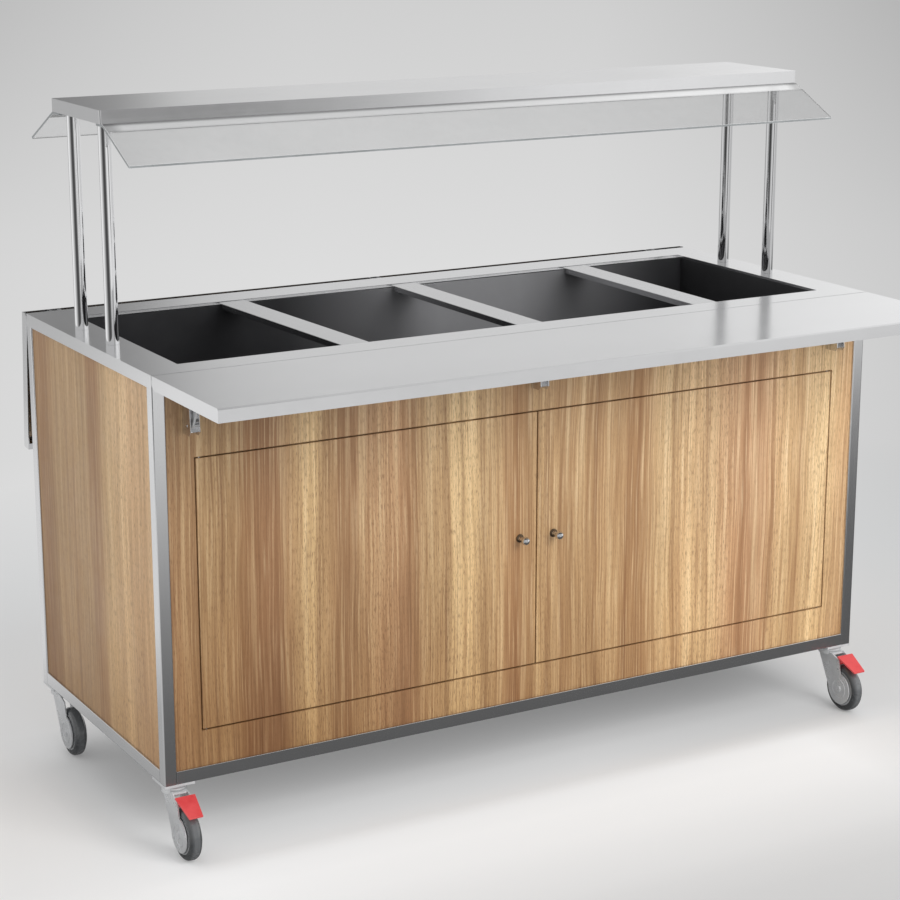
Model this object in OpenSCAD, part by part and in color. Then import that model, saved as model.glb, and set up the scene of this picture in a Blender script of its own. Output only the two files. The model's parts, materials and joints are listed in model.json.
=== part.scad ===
// Refrigerated buffet trolley: steel frame with wood panels, cold well in the worktop,
// clear guards on a canopy, two folding trays, four swivel castors.
// Millimetres, Z up. The origin is on the floor, in the middle of the footprint.

/* [Overall] */
// Length of the worktop and of the frame
length = 1600; // [1500:10:1800]
// Depth of the worktop and of the frame, trays not counted
depth = 645; // [620:5:700]
// Height of the worktop above the floor
top_height = 912; // [890:1:940]
// Height of the top of the canopy above the floor
canopy_top = 1350; // [1320:1:1450]
// Height of the underside of the frame above the floor
frame_base = 138; // [136:1:145]

/* [Frame and panels] */
// Side of the square frame tube
tube = 25; // [24:1:30]
// Wall of the frame tube
tube_wall = 1.5; // [1:0.1:2]
// Outer corner radius of the frame tube
tube_round = 3; // [2:0.5:4]
// Distance of the wood panels behind the face of the frame
panel_recess = 4; // [3:0.5:5]
// Thickness of the wood panels
panel_thick = 8; // [7:0.5:10]

/* [Doors] */
// Distance from the end of the frame to the door opening
door_side = 78.5; // [75:0.5:90]
// Height of the bottom of the door opening above the floor
door_low = 232.5; // [220:0.5:250]
// Height of the top of the door opening above the floor
door_high = 753; // [740:0.5:760]
// Gap round each door
door_gap = 2.5; // [2.2:0.1:3]
// Thickness of the doors
door_thick = 16; // [14:1:18]
// Distance of a knob from the centre line
knob_offset = 38.7; // [34:0.1:50]
// Height of the knobs above the floor
knob_height = 500; // [450:5:550]

/* [Cold well] */
// Distance from the end of the worktop to the well opening
well_side = 77.5; // [75:0.5:90]
// Distance from the front of the worktop to the well opening
well_front = 65; // [60:1:70]
// Distance from the rear of the worktop to the well opening
well_rear = 77; // [70:1:85]
// Width of the ledge along the front and rear of the opening
ledge = 12; // [10:0.5:14]
// Depth of the well below the worktop
well_depth = 155; // [145:5:158]
// Thickness of the insulation round the well
insulation = 28; // [24:1:30]
// Width of a divider bar
bar_width = 58; // [50:1:62]
// Distance of divider bar 1 from the middle, negative to the left
bar_1_x = -376; // [-420:1:-340]
// Distance of divider bar 2 from the middle
bar_2_x = 14; // [-20:1:40]
// Distance of divider bar 3 from the middle
bar_3_x = 439; // [400:1:480]
// Angle at which loose bar 1 has been left
bar_1_skew = 3.4; // [0:0.1:3.4]
// Angle at which loose bar 2 has been left
bar_2_skew = 1.4; // [0:0.1:3.4]

/* [Canopy and guards] */
// Distance from the end of the worktop to the end of the canopy
canopy_side = 15.5; // [15.5:0.5:28]
// Depth of the canopy
canopy_depth = 248; // [230:2:260]
// Distance from the front of the worktop to the middle of the canopy
canopy_middle = 364.5; // [340:0.5:370]
// Thickness of the canopy box and of the tray pans at their rim
rim = 25; // [25:1:28]
// Diameter of the canopy posts
post_d = 25; // [20:1:28]
// Distance of a canopy post from the end of the worktop
post_side = 41; // [38:1:42]
// Distance between the two canopy posts of one end
post_pitch = 160; // [140:5:180]
// Thickness of the clear guards
guard_thick = 5; // [4:0.5:6]
// Distance of a guard's lower edge outside the canopy
guard_out = 127; // [110:1:140]
// Distance of a guard's lower edge below the canopy
guard_drop = 65; // [55:1:75]

/* [Folding trays] */
// Reach of a raised tray from the face of the frame
tray_reach = 285; // [270:1:300]
// Angle between a raised and a folded tray
tray_fold = 85; // [85:0.1:85.4]
// Distance of the left brackets from the left end of the trolley
bracket_left = 68; // [66:1:90]
// Distance of the middle brackets from the middle, negative to the left
bracket_middle = -6; // [-20:1:20]
// Distance of the right brackets from the right end of the trolley
bracket_right = 86; // [66:1:100]
// Angle of a folding stay above level while its tray is raised
stay_raised = 60; // [59:0.5:61]
// Angle of a folding stay below level while its tray is folded
stay_folded = 81; // [80.5:0.5:82]

/* [Castors] */
// Diameter of the castor wheels
wheel_d = 100; // [96:1:102]
// Width of the castor tyres
wheel_width = 24; // [20:1:26]
// Distance of the swivel axis from the end and the side of the frame
castor_inset = 30; // [30:1:34]
// Distance of a wheel axle behind its swivel axis
castor_trail = 55; // [50:1:56]

/* [Hidden] */
$fn = 48;
sheet = 2;
rail_round = 1;
half = length / 2;
panel_back = panel_recess + panel_thick;
panel_low = frame_base + tube;
panel_top = top_height - rim;
inner = half - tube;

// Tray hinge and stay geometry, seen from the left: out from the frame face, and up
pin_out = 12.5;
pin_drop = 12.5;
pin_up = top_height - pin_drop;
pin_r = 3;
running = 0.06;
stay_pin_out = 16.5;
stay_pin_drop = 82;
stay_pin_up = pin_up - stay_pin_drop;
stay_pin_r = 2.5;
stay_hole_n = 3;
stay_len = (stay_pin_drop + stay_hole_n) / sin(stay_raised);
stay_ratio = (stay_raised + stay_folded) / tray_fold;
stay_half = 5;
stay_thick = 4;
slot_clear = 0.3;
skin_n = pin_drop - sheet;
skin_gap = 0.3;
bracket_head = skin_n - skin_gap;
bracket_drop = 112;
bracket_foot = top_height - bracket_drop;
channel_in = 16;
cheek = 1.5;
channel_out = channel_in + 2 * cheek;
arm_gap = 0.5;
arm_thick = 2;
arm_in = channel_out / 2 + arm_gap;
arm_out = arm_in + arm_thick;
arm_r = 10;
arm_low = 12.3;
arm_lap = 1;
bracket_xs = [bracket_left - half, bracket_middle, half - bracket_right];
function fold_out(u, n) = pin_out + u * cos(tray_fold) + n * sin(tray_fold);
function fold_up(u, n) = pin_up - u * sin(tray_fold) + n * cos(tray_fold);
// Free end of a stay in the tray's own plane, for a tray folded by angle a
function stay_u(a) = (stay_pin_out - pin_out) * cos(a) + stay_pin_drop * sin(a)
  + stay_len * cos(stay_raised - stay_ratio * a + a);
function stay_n(a) = (stay_pin_out - pin_out) * sin(a) - stay_pin_drop * cos(a)
  + stay_len * sin(stay_raised - stay_ratio * a + a);
function slot_turn(a) = atan2(stay_n(a + 0.5) - stay_n(a - 0.5), stay_u(a + 0.5) - stay_u(a - 0.5));
slot_steps = 20;
function slot_side(side) = [for (i = [0:slot_steps])
  let (a = tray_fold * i / slot_steps, w = side * (stay_pin_r + slot_clear))
  [stay_u(a) - w * sin(slot_turn(a)), stay_n(a) + w * cos(slot_turn(a))]];
function reversed(list) = [for (i = [len(list) - 1:-1:0]) list[i]];

// The footprint runs from the raised front tray to the lower edge of the folded rear tray
rear_out = fold_out(tray_reach - pin_out, pin_drop);
y_mid = (depth + rear_out - tray_reach) / 2;

steel = [0.74, 0.75, 0.76];
dark_steel = [0.45, 0.46, 0.48];
oak = [0.76, 0.61, 0.44];
clear = [0.8, 0.9, 0.95, 0.35];
black = [0.1, 0.1, 0.1];
copper = [0.72, 0.42, 0.27];

module block(x, y, z)
  translate([x[0], y[0], z[0]])
    cube([x[1] - x[0], y[1] - y[0], z[1] - z[0]]);

module place()
  translate([0, -y_mid, 0]) children();

module both_ends() {
  children();
  mirror([1, 0, 0]) children();
}

// Turns a part drawn for the front round to the rear of the frame
module at_rear()
  translate([0, depth, 0]) mirror([0, 1, 0]) children();

module rod_x(r, x, y, z)
  translate([x[0], y, z]) rotate([0, 90, 0]) cylinder(r = r, h = x[1] - x[0]);

module rod_y(r, x, y, z)
  translate([x, y[1], z]) rotate([90, 0, 0]) cylinder(r = r, h = y[1] - y[0]);

// Extrudes along X an outline given as [out from the frame face, up]
module side_profile(x)
  translate([x[0], 0, 0])
    rotate([90, 0, 90])
      linear_extrude(x[1] - x[0])
        mirror([1, 0]) children();

// Frame

module round_square(w, h, r) {
  translate([r, 0]) square([w - 2 * r, h]);
  translate([0, r]) square([w, h - 2 * r]);
  for (x = [r, w - r], y = [r, h - r]) translate([x, y]) circle(r);
}

module hollow(w, h, r)
  difference() {
    round_square(w, h, r);
    translate([tube_wall, tube_wall]) square([w - 2 * tube_wall, h - 2 * tube_wall]);
  }

module tube_x(w, h, x, y, z)
  translate([x[0], y, z]) rotate([90, 0, 90]) linear_extrude(x[1] - x[0]) hollow(w, h, rail_round);

module tube_y(w, h, x, y, z)
  translate([x, y[1], z]) rotate([90, 0, 0]) linear_extrude(y[1] - y[0]) hollow(w, h, rail_round);

module corner_posts()
  color(steel) place() both_ends()
    for (y = [0, depth - tube])
      translate([-half, y, frame_base])
        linear_extrude(panel_top - frame_base) hollow(tube, tube, tube_round);

module bottom_rails_long()
  color(steel) place()
    for (y = [0, depth - tube]) tube_x(tube, tube, [-inner, inner], y, frame_base);

module bottom_rails_short()
  color(steel) place() both_ends()
    tube_y(tube, tube, -half, [tube, depth - tube], frame_base);

top_rail_w = tube - panel_back;

module top_rails()
  color(steel) place() {
    for (y = [panel_back, depth - tube])
      tube_x(top_rail_w, tube, [-inner, inner], y, panel_top - tube);
    both_ends()
      tube_y(top_rail_w, tube, -half + panel_back, [tube, depth - tube], panel_top - tube);
  }

// Slots in the floor sheet under the condensing unit, where cooling air comes in
floor_slots = 7;
slot_wide = 8;
slot_long = 150;
slot_start = 60;

module floor_panel()
  color(steel) place() difference() {
    block([-half + panel_back, half - panel_back], [panel_back, depth - panel_back],
      [panel_low, panel_low + sheet]);
    both_ends() for (y = [0, depth - tube])
      block([-half, -inner], [y, y + tube], [panel_low, panel_low + sheet]);
    for (i = [1:floor_slots], x = [unit_x[0] - slot_start - 2 * i * slot_wide])
      block([x, x + slot_wide],
        [unit_fan_y - slot_long / 2, unit_fan_y + slot_long / 2], [panel_low, panel_low + sheet]);
  }

module end_panel()
  block([-half + panel_recess, -half + panel_back], [tube, depth - tube], [panel_low, panel_top]);

module panel_left()
  color(oak) place() end_panel();

module panel_right()
  color(oak) place() difference() {
    mirror([1, 0, 0]) end_panel();
    block([inner, half], grille_y, grille_z);
    block([inner, half], [control_y[0] + control_lap, control_y[1] - control_lap],
      [control_z[0] + control_lap, control_z[1] - control_lap]);
  }

module panel_rear()
  color(oak) place() difference() {
    block([-inner, inner], [depth - panel_back, depth - panel_recess], [panel_low, panel_top]);
    rod_y(gland_r, gland_x, [depth - tube, depth], gland_up);
  }

// Doors turn on plain pins standing in the edge of the surround
pivot_in = 8;
pivot_r = 2;
pivot_deep = 12;
pivot_x = half - door_side - door_gap - pivot_in;
pivot_y = panel_recess + panel_thick / 2;
knob_stud_r = 2;

module pivot_pins(r)
  both_ends() {
    translate([-pivot_x, pivot_y, door_low - pivot_deep])
      cylinder(r = r, h = 2 * pivot_deep + door_gap);
    translate([-pivot_x, pivot_y, door_high - pivot_deep - door_gap])
      cylinder(r = r, h = 2 * pivot_deep + door_gap);
  }

module door_surround()
  color(oak) place() difference() {
    block([-inner, inner], [panel_recess, panel_back], [panel_low, panel_top]);
    block([-half + door_side, half - door_side], [0, tube], [door_low, door_high]);
    pivot_pins(pivot_r);
  }

module door_pivots()
  color(steel) place() pivot_pins(pivot_r);

module door_leaf()
  color(oak) place() difference() {
    block([-half + door_side + door_gap, -door_gap / 2],
      [panel_recess, panel_recess + door_thick], [door_low + door_gap, door_high - door_gap]);
    pivot_pins(pivot_r + running);
    rod_y(knob_stud_r + running, -knob_offset, [panel_recess, panel_recess + door_thick / 2],
      knob_height);
  }

module door_left() door_leaf();
module door_right() mirror([1, 0, 0]) door_leaf();

knob_r = 8.5;
knob_stem_r = 4.5;
knob_long = 31;

module knob()
  color(steel) place() translate([-knob_offset, panel_recess, knob_height])
    rotate([90, 0, 0]) {
      cylinder(r = knob_r, h = sheet);
      cylinder(r = knob_stem_r, h = knob_long - knob_r);
      translate([0, 0, knob_long - knob_r]) sphere(knob_r);
      translate([0, 0, -door_thick / 2]) cylinder(r = knob_stud_r, h = door_thick / 2);
    }

module knob_left() knob();
module knob_right() mirror([1, 0, 0]) knob();

// Double magnetic catch behind the top of both doors
catch_half = 45;
catch_deep = 14;
catch_gap = 0.3;
catch_back = panel_recess + door_thick + catch_gap;

module magnet_catch()
  color(black) place() {
    block([-catch_half, catch_half], [catch_back, catch_back + catch_deep],
      [door_high - catch_deep, door_high + catch_deep]);
    block([-catch_half, catch_half], [panel_back, catch_back],
      [door_high + sheet, door_high + catch_deep]);
  }

// Worktop, well and divider bars
well_x = half - well_side;
well_y = [well_front, depth - well_rear];
ledge_drop = 3;
ledge_up = top_height - ledge_drop;
tank_y = [well_y[0] + ledge, well_y[1] - ledge];
tank_floor = top_height - well_depth;
stud_r = 3;
post_x = half - post_side;
post_ys = [canopy_middle - post_pitch / 2, canopy_middle + post_pitch / 2];
canopy_up = canopy_top - rim;

module at_posts()
  both_ends() for (y = post_ys) translate([-post_x, y, 0]) children();

module worktop()
  color(steel) place() difference() {
    union() {
      difference() {
        translate([-half, 0, panel_top])
          linear_extrude(rim) round_square(length, depth, tube_round);
        block([-half + sheet, half - sheet], [sheet, depth - sheet],
          [panel_top, top_height - sheet]);
      }
      block([-well_x - sheet, well_x + sheet], [well_y[0] - sheet, well_y[1] + sheet],
        [ledge_up - sheet, top_height]);
    }
    block([-well_x, well_x], tank_y, [panel_top, top_height]);
    block([-well_x, well_x], well_y, [ledge_up, top_height]);
    at_posts() translate([0, 0, panel_top]) cylinder(r = stud_r, h = rim);
  }

bar_flange = 10;
skew_limit = 3.4;
bar_play = 1;
bar_flange_play = 8;
bar_len = well_y[1] - well_y[0] - bar_play - bar_width * sin(skew_limit);
bar_flange_len = tank_y[1] - tank_y[0] - bar_flange_play;
bar_round = 4;
bar_lift = 0.02;
bar_seat = ledge_up + bar_lift;

module divider_bar(x, skew)
  color(steel) place() translate([x, (well_y[0] + well_y[1]) / 2, 0]) rotate([0, 0, skew]) {
    translate([-bar_width / 2, -bar_len / 2, bar_seat])
      linear_extrude(sheet) round_square(bar_width, bar_len, bar_round);
    both_ends()
      block([-bar_width / 2, -bar_width / 2 + sheet], [-bar_flange_len / 2, bar_flange_len / 2],
        [bar_seat - bar_flange, bar_seat + sheet / 2]);
  }

module divider_bar_1() divider_bar(bar_1_x, bar_1_skew);
module divider_bar_2() divider_bar(bar_2_x, bar_2_skew);
module divider_bar_3() divider_bar(bar_3_x, 0);

drain_inset = 150;
drain_x = drain_inset - half;
drain_y = 130;
drain_r = 10;

fit = 0.1;
// Plates and boards stand this far apart, so each stays a piece of its own
seam = 0.05;

module tank_shell(grow, low, high)
  block([-well_x - grow, well_x + grow], [tank_y[0] - grow, tank_y[1] + grow], [low, high]);

// Four boards round the tank's box grown by the amount near, each of the given thickness
module boards(near, thick, low, high) {
  both_ends()
    block([-well_x - near - thick, -well_x - near],
      [tank_y[0] - near - thick, tank_y[1] + near + thick], [low, high]);
  for (y = [tank_y[0] - near - thick, tank_y[1] + near])
    block([-well_x - near + seam, well_x + near - seam], [y, y + thick], [low, high]);
}

// Welded from a floor and four walls
module well_tank()
  color(steel) place() {
    difference() {
      tank_shell(sheet, tank_floor - sheet, tank_floor);
      translate([drain_x, drain_y, tank_floor - sheet]) cylinder(r = drain_r + fit, h = sheet);
    }
    boards(0, sheet, tank_floor + seam, ledge_up - sheet);
  }

// Flat evaporator under the well: straight runs joined by return bends
coil_r = 4;
coil_gap = 0.3;
coil_runs = 6;
coil_bend_inset = 220;
coil_half = half - coil_bend_inset;
coil_front = 27;
coil_rear = 42;
coil_y = tank_y[0] + coil_front;
coil_last = tank_y[1] - coil_rear;
coil_pitch = (coil_last - coil_y) / (coil_runs - 1);
coil_up = tank_floor - sheet - coil_r - coil_gap;
coil_end_inset = 160;
coil_end = half - coil_end_inset;
coil_margin = 20;
coil_lap = 10;
tail_long = 27;
jacket_low = tank_floor - sheet - insulation;
pocket_deep = 2 * (coil_r + coil_gap);
tail_low = jacket_low - tail_long;

// Foam boards: one below with a pocket for the evaporator, four at the sides
module insulation_jacket()
  color(black) place() {
    difference() {
      tank_shell(sheet, jacket_low, tank_floor - sheet);
      block([-coil_end - coil_margin, coil_end + coil_margin], [coil_y - coil_lap, coil_last + coil_lap],
        [tank_floor - sheet - pocket_deep, tank_floor - sheet]);
      for (y = [coil_y, coil_last])
        translate([coil_end, y, jacket_low]) cylinder(r = coil_r + 3 * fit, h = insulation);
      translate([drain_x, drain_y, jacket_low]) cylinder(r = drain_r + 3 * fit, h = insulation);
    }
    boards(sheet + seam, insulation, jacket_low, ledge_up - sheet);
  }

module return_bend(x, y, turn)
  translate([x, y, coil_up]) rotate([0, 0, turn])
    rotate_extrude(angle = 180) translate([coil_pitch / 2, 0]) circle(coil_r);

module evaporator()
  color(copper) place() {
    for (i = [0:coil_runs - 1])
      rod_x(coil_r, [-coil_half, i == 0 || i == coil_runs - 1 ? coil_end + coil_r : coil_half],
        coil_y + i * coil_pitch, coil_up);
    for (i = [0:2:coil_runs - 2])
      return_bend(-coil_half, coil_y + (i + 0.5) * coil_pitch, 90);
    for (i = [1:2:coil_runs - 2])
      return_bend(coil_half, coil_y + (i + 0.5) * coil_pitch, -90);
    for (y = [coil_y, coil_last])
      translate([coil_end, y, tail_low]) cylinder(r = coil_r, h = coil_up - tail_low);
  }

// Drain with a lever valve inside the cabinet
valve_drop = 57;
valve_tall = 45;
valve_high = tank_floor - valve_drop;
valve_low = valve_high - valve_tall;
valve_half = 15;
valve_up = (valve_low + valve_high) / 2;
spout_long = 25;
spout_low = valve_low - spout_long;
drain_flange = 6;
ball_half = 8;
boss_wall = 2.5;
drain_bore = 7;
stem_r = 4;
lever_thick = 3;
lever_long = 62;
lever_half = 6;
stem_gap = 0.3;
lever_y = drain_y - valve_half - stem_gap;

module drain_valve()
  color(steel) place() difference() {
    union() {
      translate([drain_x, drain_y, spout_low]) cylinder(r = drain_r, h = tank_floor - spout_low);
      translate([drain_x, drain_y, tank_floor]) cylinder(r = drain_r + drain_flange, h = 1);
      block([drain_x - valve_half, drain_x + valve_half],
        [drain_y - valve_half, drain_y + valve_half], [valve_low, valve_high]);
      rod_y(stem_r, drain_x, [lever_y - lever_thick - 2 * stem_gap - sheet, drain_y], valve_up);
      rod_y(stem_r + boss_wall, drain_x, [lever_y - lever_thick - stem_gap - sheet,
        lever_y - lever_thick - stem_gap], valve_up);
    }
    translate([drain_x, drain_y, valve_up + ball_half])
      cylinder(r = drain_bore, h = tank_floor - valve_up);
    translate([drain_x, drain_y, spout_low])
      cylinder(r = drain_bore, h = valve_up - ball_half - spout_low);
  }

module valve_lever()
  color([0.75, 0.1, 0.1]) place() difference() {
    union() {
      rod_y(2 * stem_r, drain_x, [lever_y - lever_thick, lever_y], valve_up);
      block([drain_x, drain_x + lever_long], [lever_y - lever_thick, lever_y],
        [valve_up - lever_half, valve_up + lever_half]);
      rod_y(lever_half, drain_x + lever_long, [lever_y - lever_thick, lever_y], valve_up);
    }
    rod_y(stem_r + running, drain_x, [lever_y - lever_thick, lever_y], valve_up);
  }

// Canopy, its posts and the clear guards
canopy_y = [canopy_middle - canopy_depth / 2, canopy_middle + canopy_depth / 2];
canopy_half = half - canopy_side;
post_wall = 1.5;
plug = 10;
nut_r = 5.5;
nut_high = 5;
guard_lap = 28;
guard_inset = 3;
guard_half = canopy_half - guard_inset;
bend_in = 6;
bend_out = bend_in + guard_thick;
// Turn of the bend, from the fall and the reach of the pane beyond the bend
bend_fall = 0.6;
bend_reach = 7;
guard_turn = atan2(guard_drop - guard_thick - bend_fall, guard_out - bend_reach);
guard_run = (guard_drop - guard_thick - bend_in * (1 - cos(guard_turn))) / sin(guard_turn);
screw_r = 2;
screw_head_r = 4;
screw_head = 2.4;
screw_end = 60;
screw_step = (guard_half - screw_end) / 2;
screw_in = 18;

module at_guard_screws()
  for (i = [-2:2], y = [canopy_y[0] + screw_in, canopy_y[1] - screw_in])
    translate([i * screw_step, y, 0]) children();

module canopy()
  color(steel) place() difference() {
    translate([-canopy_half, canopy_y[0], canopy_up])
      linear_extrude(rim) round_square(2 * canopy_half, canopy_depth, tube_round);
    block([-canopy_half + sheet, canopy_half - sheet], [canopy_y[0] + sheet, canopy_y[1] - sheet],
      [canopy_up + sheet, canopy_top - sheet]);
    at_posts() translate([0, 0, canopy_up]) cylinder(r = stud_r, h = sheet);
    at_guard_screws() translate([0, 0, canopy_up]) cylinder(r = screw_r + fit, h = sheet);
  }

module canopy_posts()
  color(steel) place() at_posts() {
    translate([0, 0, top_height]) difference() {
      cylinder(d = post_d, h = canopy_up - top_height);
      translate([0, 0, plug])
        cylinder(d = post_d - 2 * post_wall, h = canopy_up - top_height - 2 * plug);
    }
    translate([0, 0, top_height - sheet - nut_high - 1])
      cylinder(r = stud_r, h = sheet + nut_high + 1);
    translate([0, 0, top_height - sheet - nut_high]) cylinder(r = nut_r, h = nut_high, $fn = 6);
    translate([0, 0, canopy_up]) cylinder(r = stud_r, h = sheet + nut_high + 1);
    translate([0, 0, canopy_up + sheet]) cylinder(r = nut_r, h = nut_high, $fn = 6);
  }

// Bent sheet: flange under the canopy, bend, sloping pane
bend_steps = 12;
function bend_arc(r) = [for (i = [0:bend_steps]) let (a = guard_turn * i / bend_steps)
  [sheet + r * sin(a), r * cos(a) - bend_out]];
function pane_end(r) = [sheet + r * sin(guard_turn) + guard_run * cos(guard_turn),
  r * cos(guard_turn) - bend_out - guard_run * sin(guard_turn)];

module guard_outline()
  polygon(concat([[-guard_lap, 0]], bend_arc(bend_out), [pane_end(bend_out), pane_end(bend_in)],
    reversed(bend_arc(bend_in)), [[-guard_lap, -guard_thick]]));

module guard()
  color(clear) place() difference() {
    translate([0, canopy_y[0], canopy_up])
      side_profile([-guard_half, guard_half]) guard_outline();
    at_guard_screws() translate([0, 0, canopy_up - guard_thick])
      cylinder(r = screw_r + 3 * fit, h = guard_thick);
  }

module guard_front() guard();
module guard_rear()
  translate([0, 2 * (canopy_middle - y_mid), 0]) mirror([0, 1, 0]) guard();

module guard_screws()
  color(steel) place() at_guard_screws() {
    translate([0, 0, canopy_up - guard_thick - screw_head]) cylinder(r = screw_head_r, h = screw_head);
    translate([0, 0, canopy_up - guard_thick]) cylinder(r = screw_r, h = guard_thick + sheet + 2);
  }

// Trays: a pan open below, with a pair of arms at each bracket
tray_seam = 2;
tray_round = 3;
tray_return = 12;
end_r = 12;
arm_margin = 5;
arm_end = stay_u(tray_fold) + stay_pin_r + arm_margin;

module tray_skin() {
  translate([tray_seam, top_height - sheet])
    square([tray_reach - tray_seam - tray_round, sheet]);
  translate([tray_reach - sheet, panel_top]) square([sheet, rim - tray_round]);
  translate([tray_reach - tray_return, panel_top]) square([tray_return, sheet]);
  translate([tray_reach - tray_round, top_height - tray_round]) intersection() {
    difference() {
      circle(tray_round);
      circle(tray_round - sheet);
    }
    square(tray_round);
  }
}

module tray_end() {
  translate([tray_seam, pin_up])
    square([tray_reach - tray_seam - tray_round, pin_drop]);
  translate([pin_out, panel_top])
    square([tray_reach - pin_out, rim - tray_round]);
  translate([pin_out, pin_up]) circle(end_r);
  translate([tray_reach - tray_round, top_height - tray_round]) circle(tray_round);
}

module arm_outline()
  translate([pin_out, pin_up]) difference() {
    union() {
      circle(arm_r);
      translate([-arm_r + arm_lap, 0]) square([arm_r, skin_n]);
      translate([0, -arm_r + arm_lap]) square([arm_r, arm_r + skin_n - arm_lap]);
      translate([arm_r - 3 * arm_lap, -arm_low]) square([arm_end - arm_r + 3 * arm_lap, arm_low + skin_n]);
    }
    circle(pin_r + running);
    polygon(concat(slot_side(1), reversed(slot_side(-1))));
    for (a = [0, tray_fold])
      translate([stay_u(a), stay_n(a)]) circle(stay_pin_r + slot_clear);
  }

module tray_pan() {
  side_profile([-half, half]) tray_skin();
  both_ends() side_profile([-half, -half + sheet]) tray_end();
  for (x = bracket_xs) {
    side_profile([x - arm_out, x - arm_in]) arm_outline();
    side_profile([x + arm_in, x + arm_out]) arm_outline();
  }
}

module folded()
  translate([0, -pin_out, pin_up]) rotate([tray_fold, 0, 0])
    translate([0, pin_out, -pin_up]) children();

module front_tray() color(steel) place() tray_pan();
module rear_tray() color(steel) place() at_rear() folded() tray_pan();

// Brackets: channels open to the outside, standing off the wood on a packing piece.
// Their front edges lie along the skin of a folded tray and stop it there.
foot_reach = 11;
foot_u = stay_pin_drop + foot_reach;
foot_cut = 7;
pin_head_r = 4.5;
pin_head = 1.5;
pin_gap = 0.3;
pack_high = 40;
dimple = 1;

module cheek_outline() {
  translate([pin_out, pin_up]) circle(bracket_head);
  polygon([[0, pin_up], [pin_out, pin_up], [fold_out(0, bracket_head), fold_up(0, bracket_head)],
    [fold_out(foot_u, bracket_head), fold_up(foot_u, bracket_head)],
    [fold_out(foot_u, bracket_head) - foot_cut, bracket_foot], [0, bracket_foot]]);
}

module bracket(x) {
  half_out = channel_out / 2;
  half_in = channel_in / 2;
  difference() {
    side_profile([x - half_out, x + half_out]) cheek_outline();
    block([x - half_in, x + half_in], [-half, -cheek], [0, canopy_top]);
  }
  block([x - half_out, x + half_out], [0, panel_recess], [bracket_foot, bracket_foot + pack_high]);
  rod_x(pin_r, [x - arm_out - pin_gap, x + arm_out + pin_gap], -pin_out, pin_up);
  for (s = [-1, 1])
    translate([x + s * (arm_out + pin_gap + pin_head / 2), 0, 0])
      rod_x(pin_head_r, [-pin_head / 2, pin_head / 2], -pin_out, pin_up);
  rod_x(stay_pin_r, [x - half_out + cheek / 2, x + half_out - cheek / 2], -stay_pin_out, stay_pin_up);
}

module brackets()
  difference() {
    for (x = bracket_xs) bracket(x);
    for (x = bracket_xs, s = [-1, 1])
      translate([x + s * (channel_out / 2 - dimple / 2), 0, 0])
        rod_x(stay_pin_r, [-dimple / 2, dimple / 2], -stay_pin_out, stay_pin_up);
  }

module front_brackets() color(steel) place() brackets();
module rear_brackets() color(steel) place() at_rear() brackets();

module stays(angle)
  translate([0, -stay_pin_out, stay_pin_up]) rotate([-angle, 0, 0]) for (x = bracket_xs) {
    difference() {
      side_profile([x - stay_thick / 2, x + stay_thick / 2]) {
        circle(stay_half);
        translate([0, -stay_half]) square([stay_len, 2 * stay_half]);
        translate([stay_len, 0]) circle(stay_half);
      }
      rod_x(stay_pin_r + running, [x - stay_thick, x + stay_thick], 0, 0);
    }
    rod_x(stay_pin_r, [x - arm_out, x + arm_out], -stay_len, 0);
  }

module front_stays() color(steel) place() stays(stay_raised);
module rear_stays() color(steel) place() at_rear() stays(-stay_folded);

// Castors: fixed plate and king pin, fork, hub, tyre and brake pedal
plate_half = 30;
plate_thick = 5;
race_r = 24;
race_high = 5;
king_r = 6;
king_nut_r = 10;
king_low = 107;
axle_up = wheel_d / 2;
wheel_r = wheel_d / 2;
crown_low = 117;
crown_thick = 5;
crown_y = [-28, 18];
crown_gap = 0.3;
crown_top = frame_base - plate_thick - race_high - crown_gap;
leg_room = 2;
leg_in = wheel_width / 2 + leg_room;
leg_thick = 2.5;
leg_out = leg_in + leg_thick;
leg_disc_r = 34;
axle_r = 4;
axle_head_r = 7;
axle_head = 3;
hub_r = 38;
ring_r = [19, 22];
ring_high = 1;
shoulder = 9;
castor_x = half - castor_inset;
castor_ys = [castor_inset, depth - castor_inset];
pedal_out = 48;
pedal_up = 107;
pedal_pin_r = 3;
pin_stub = 2;
pedal_play = 1;
pedal_hub_r = 5.5;
pedal_top = [52, 123];
pedal_angle = 24;
pedal_len = 56;
pedal_wide = [20, 13.5];
pedal_thick = 3.5;

module at_castor(side, row)
  place() translate([side * castor_x, castor_ys[row], 0]) children();

module castor_plates()
  color(dark_steel)
    for (side = [-1, 1], row = [0, 1]) at_castor(side, row) {
      block([-plate_half, plate_half], [-plate_half, plate_half],
        [frame_base - plate_thick, frame_base]);
      translate([0, 0, frame_base - plate_thick - race_high]) cylinder(r = race_r, h = race_high);
      translate([0, 0, king_low]) cylinder(r = king_r, h = frame_base - plate_thick - king_low);
      translate([0, 0, king_low]) cylinder(r = king_nut_r, h = crown_low - crown_gap - king_low, $fn = 6);
    }

module leg_outline() {
  translate([castor_trail, axle_up]) circle(leg_disc_r);
  polygon([[-crown_y[1], crown_low + crown_thick], [-crown_y[0], crown_low + crown_thick],
    [pedal_out + 4, pedal_up + 7], [pedal_out + 11, axle_up + leg_disc_r - 2], [24, axle_up - 8]]);
}

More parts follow.
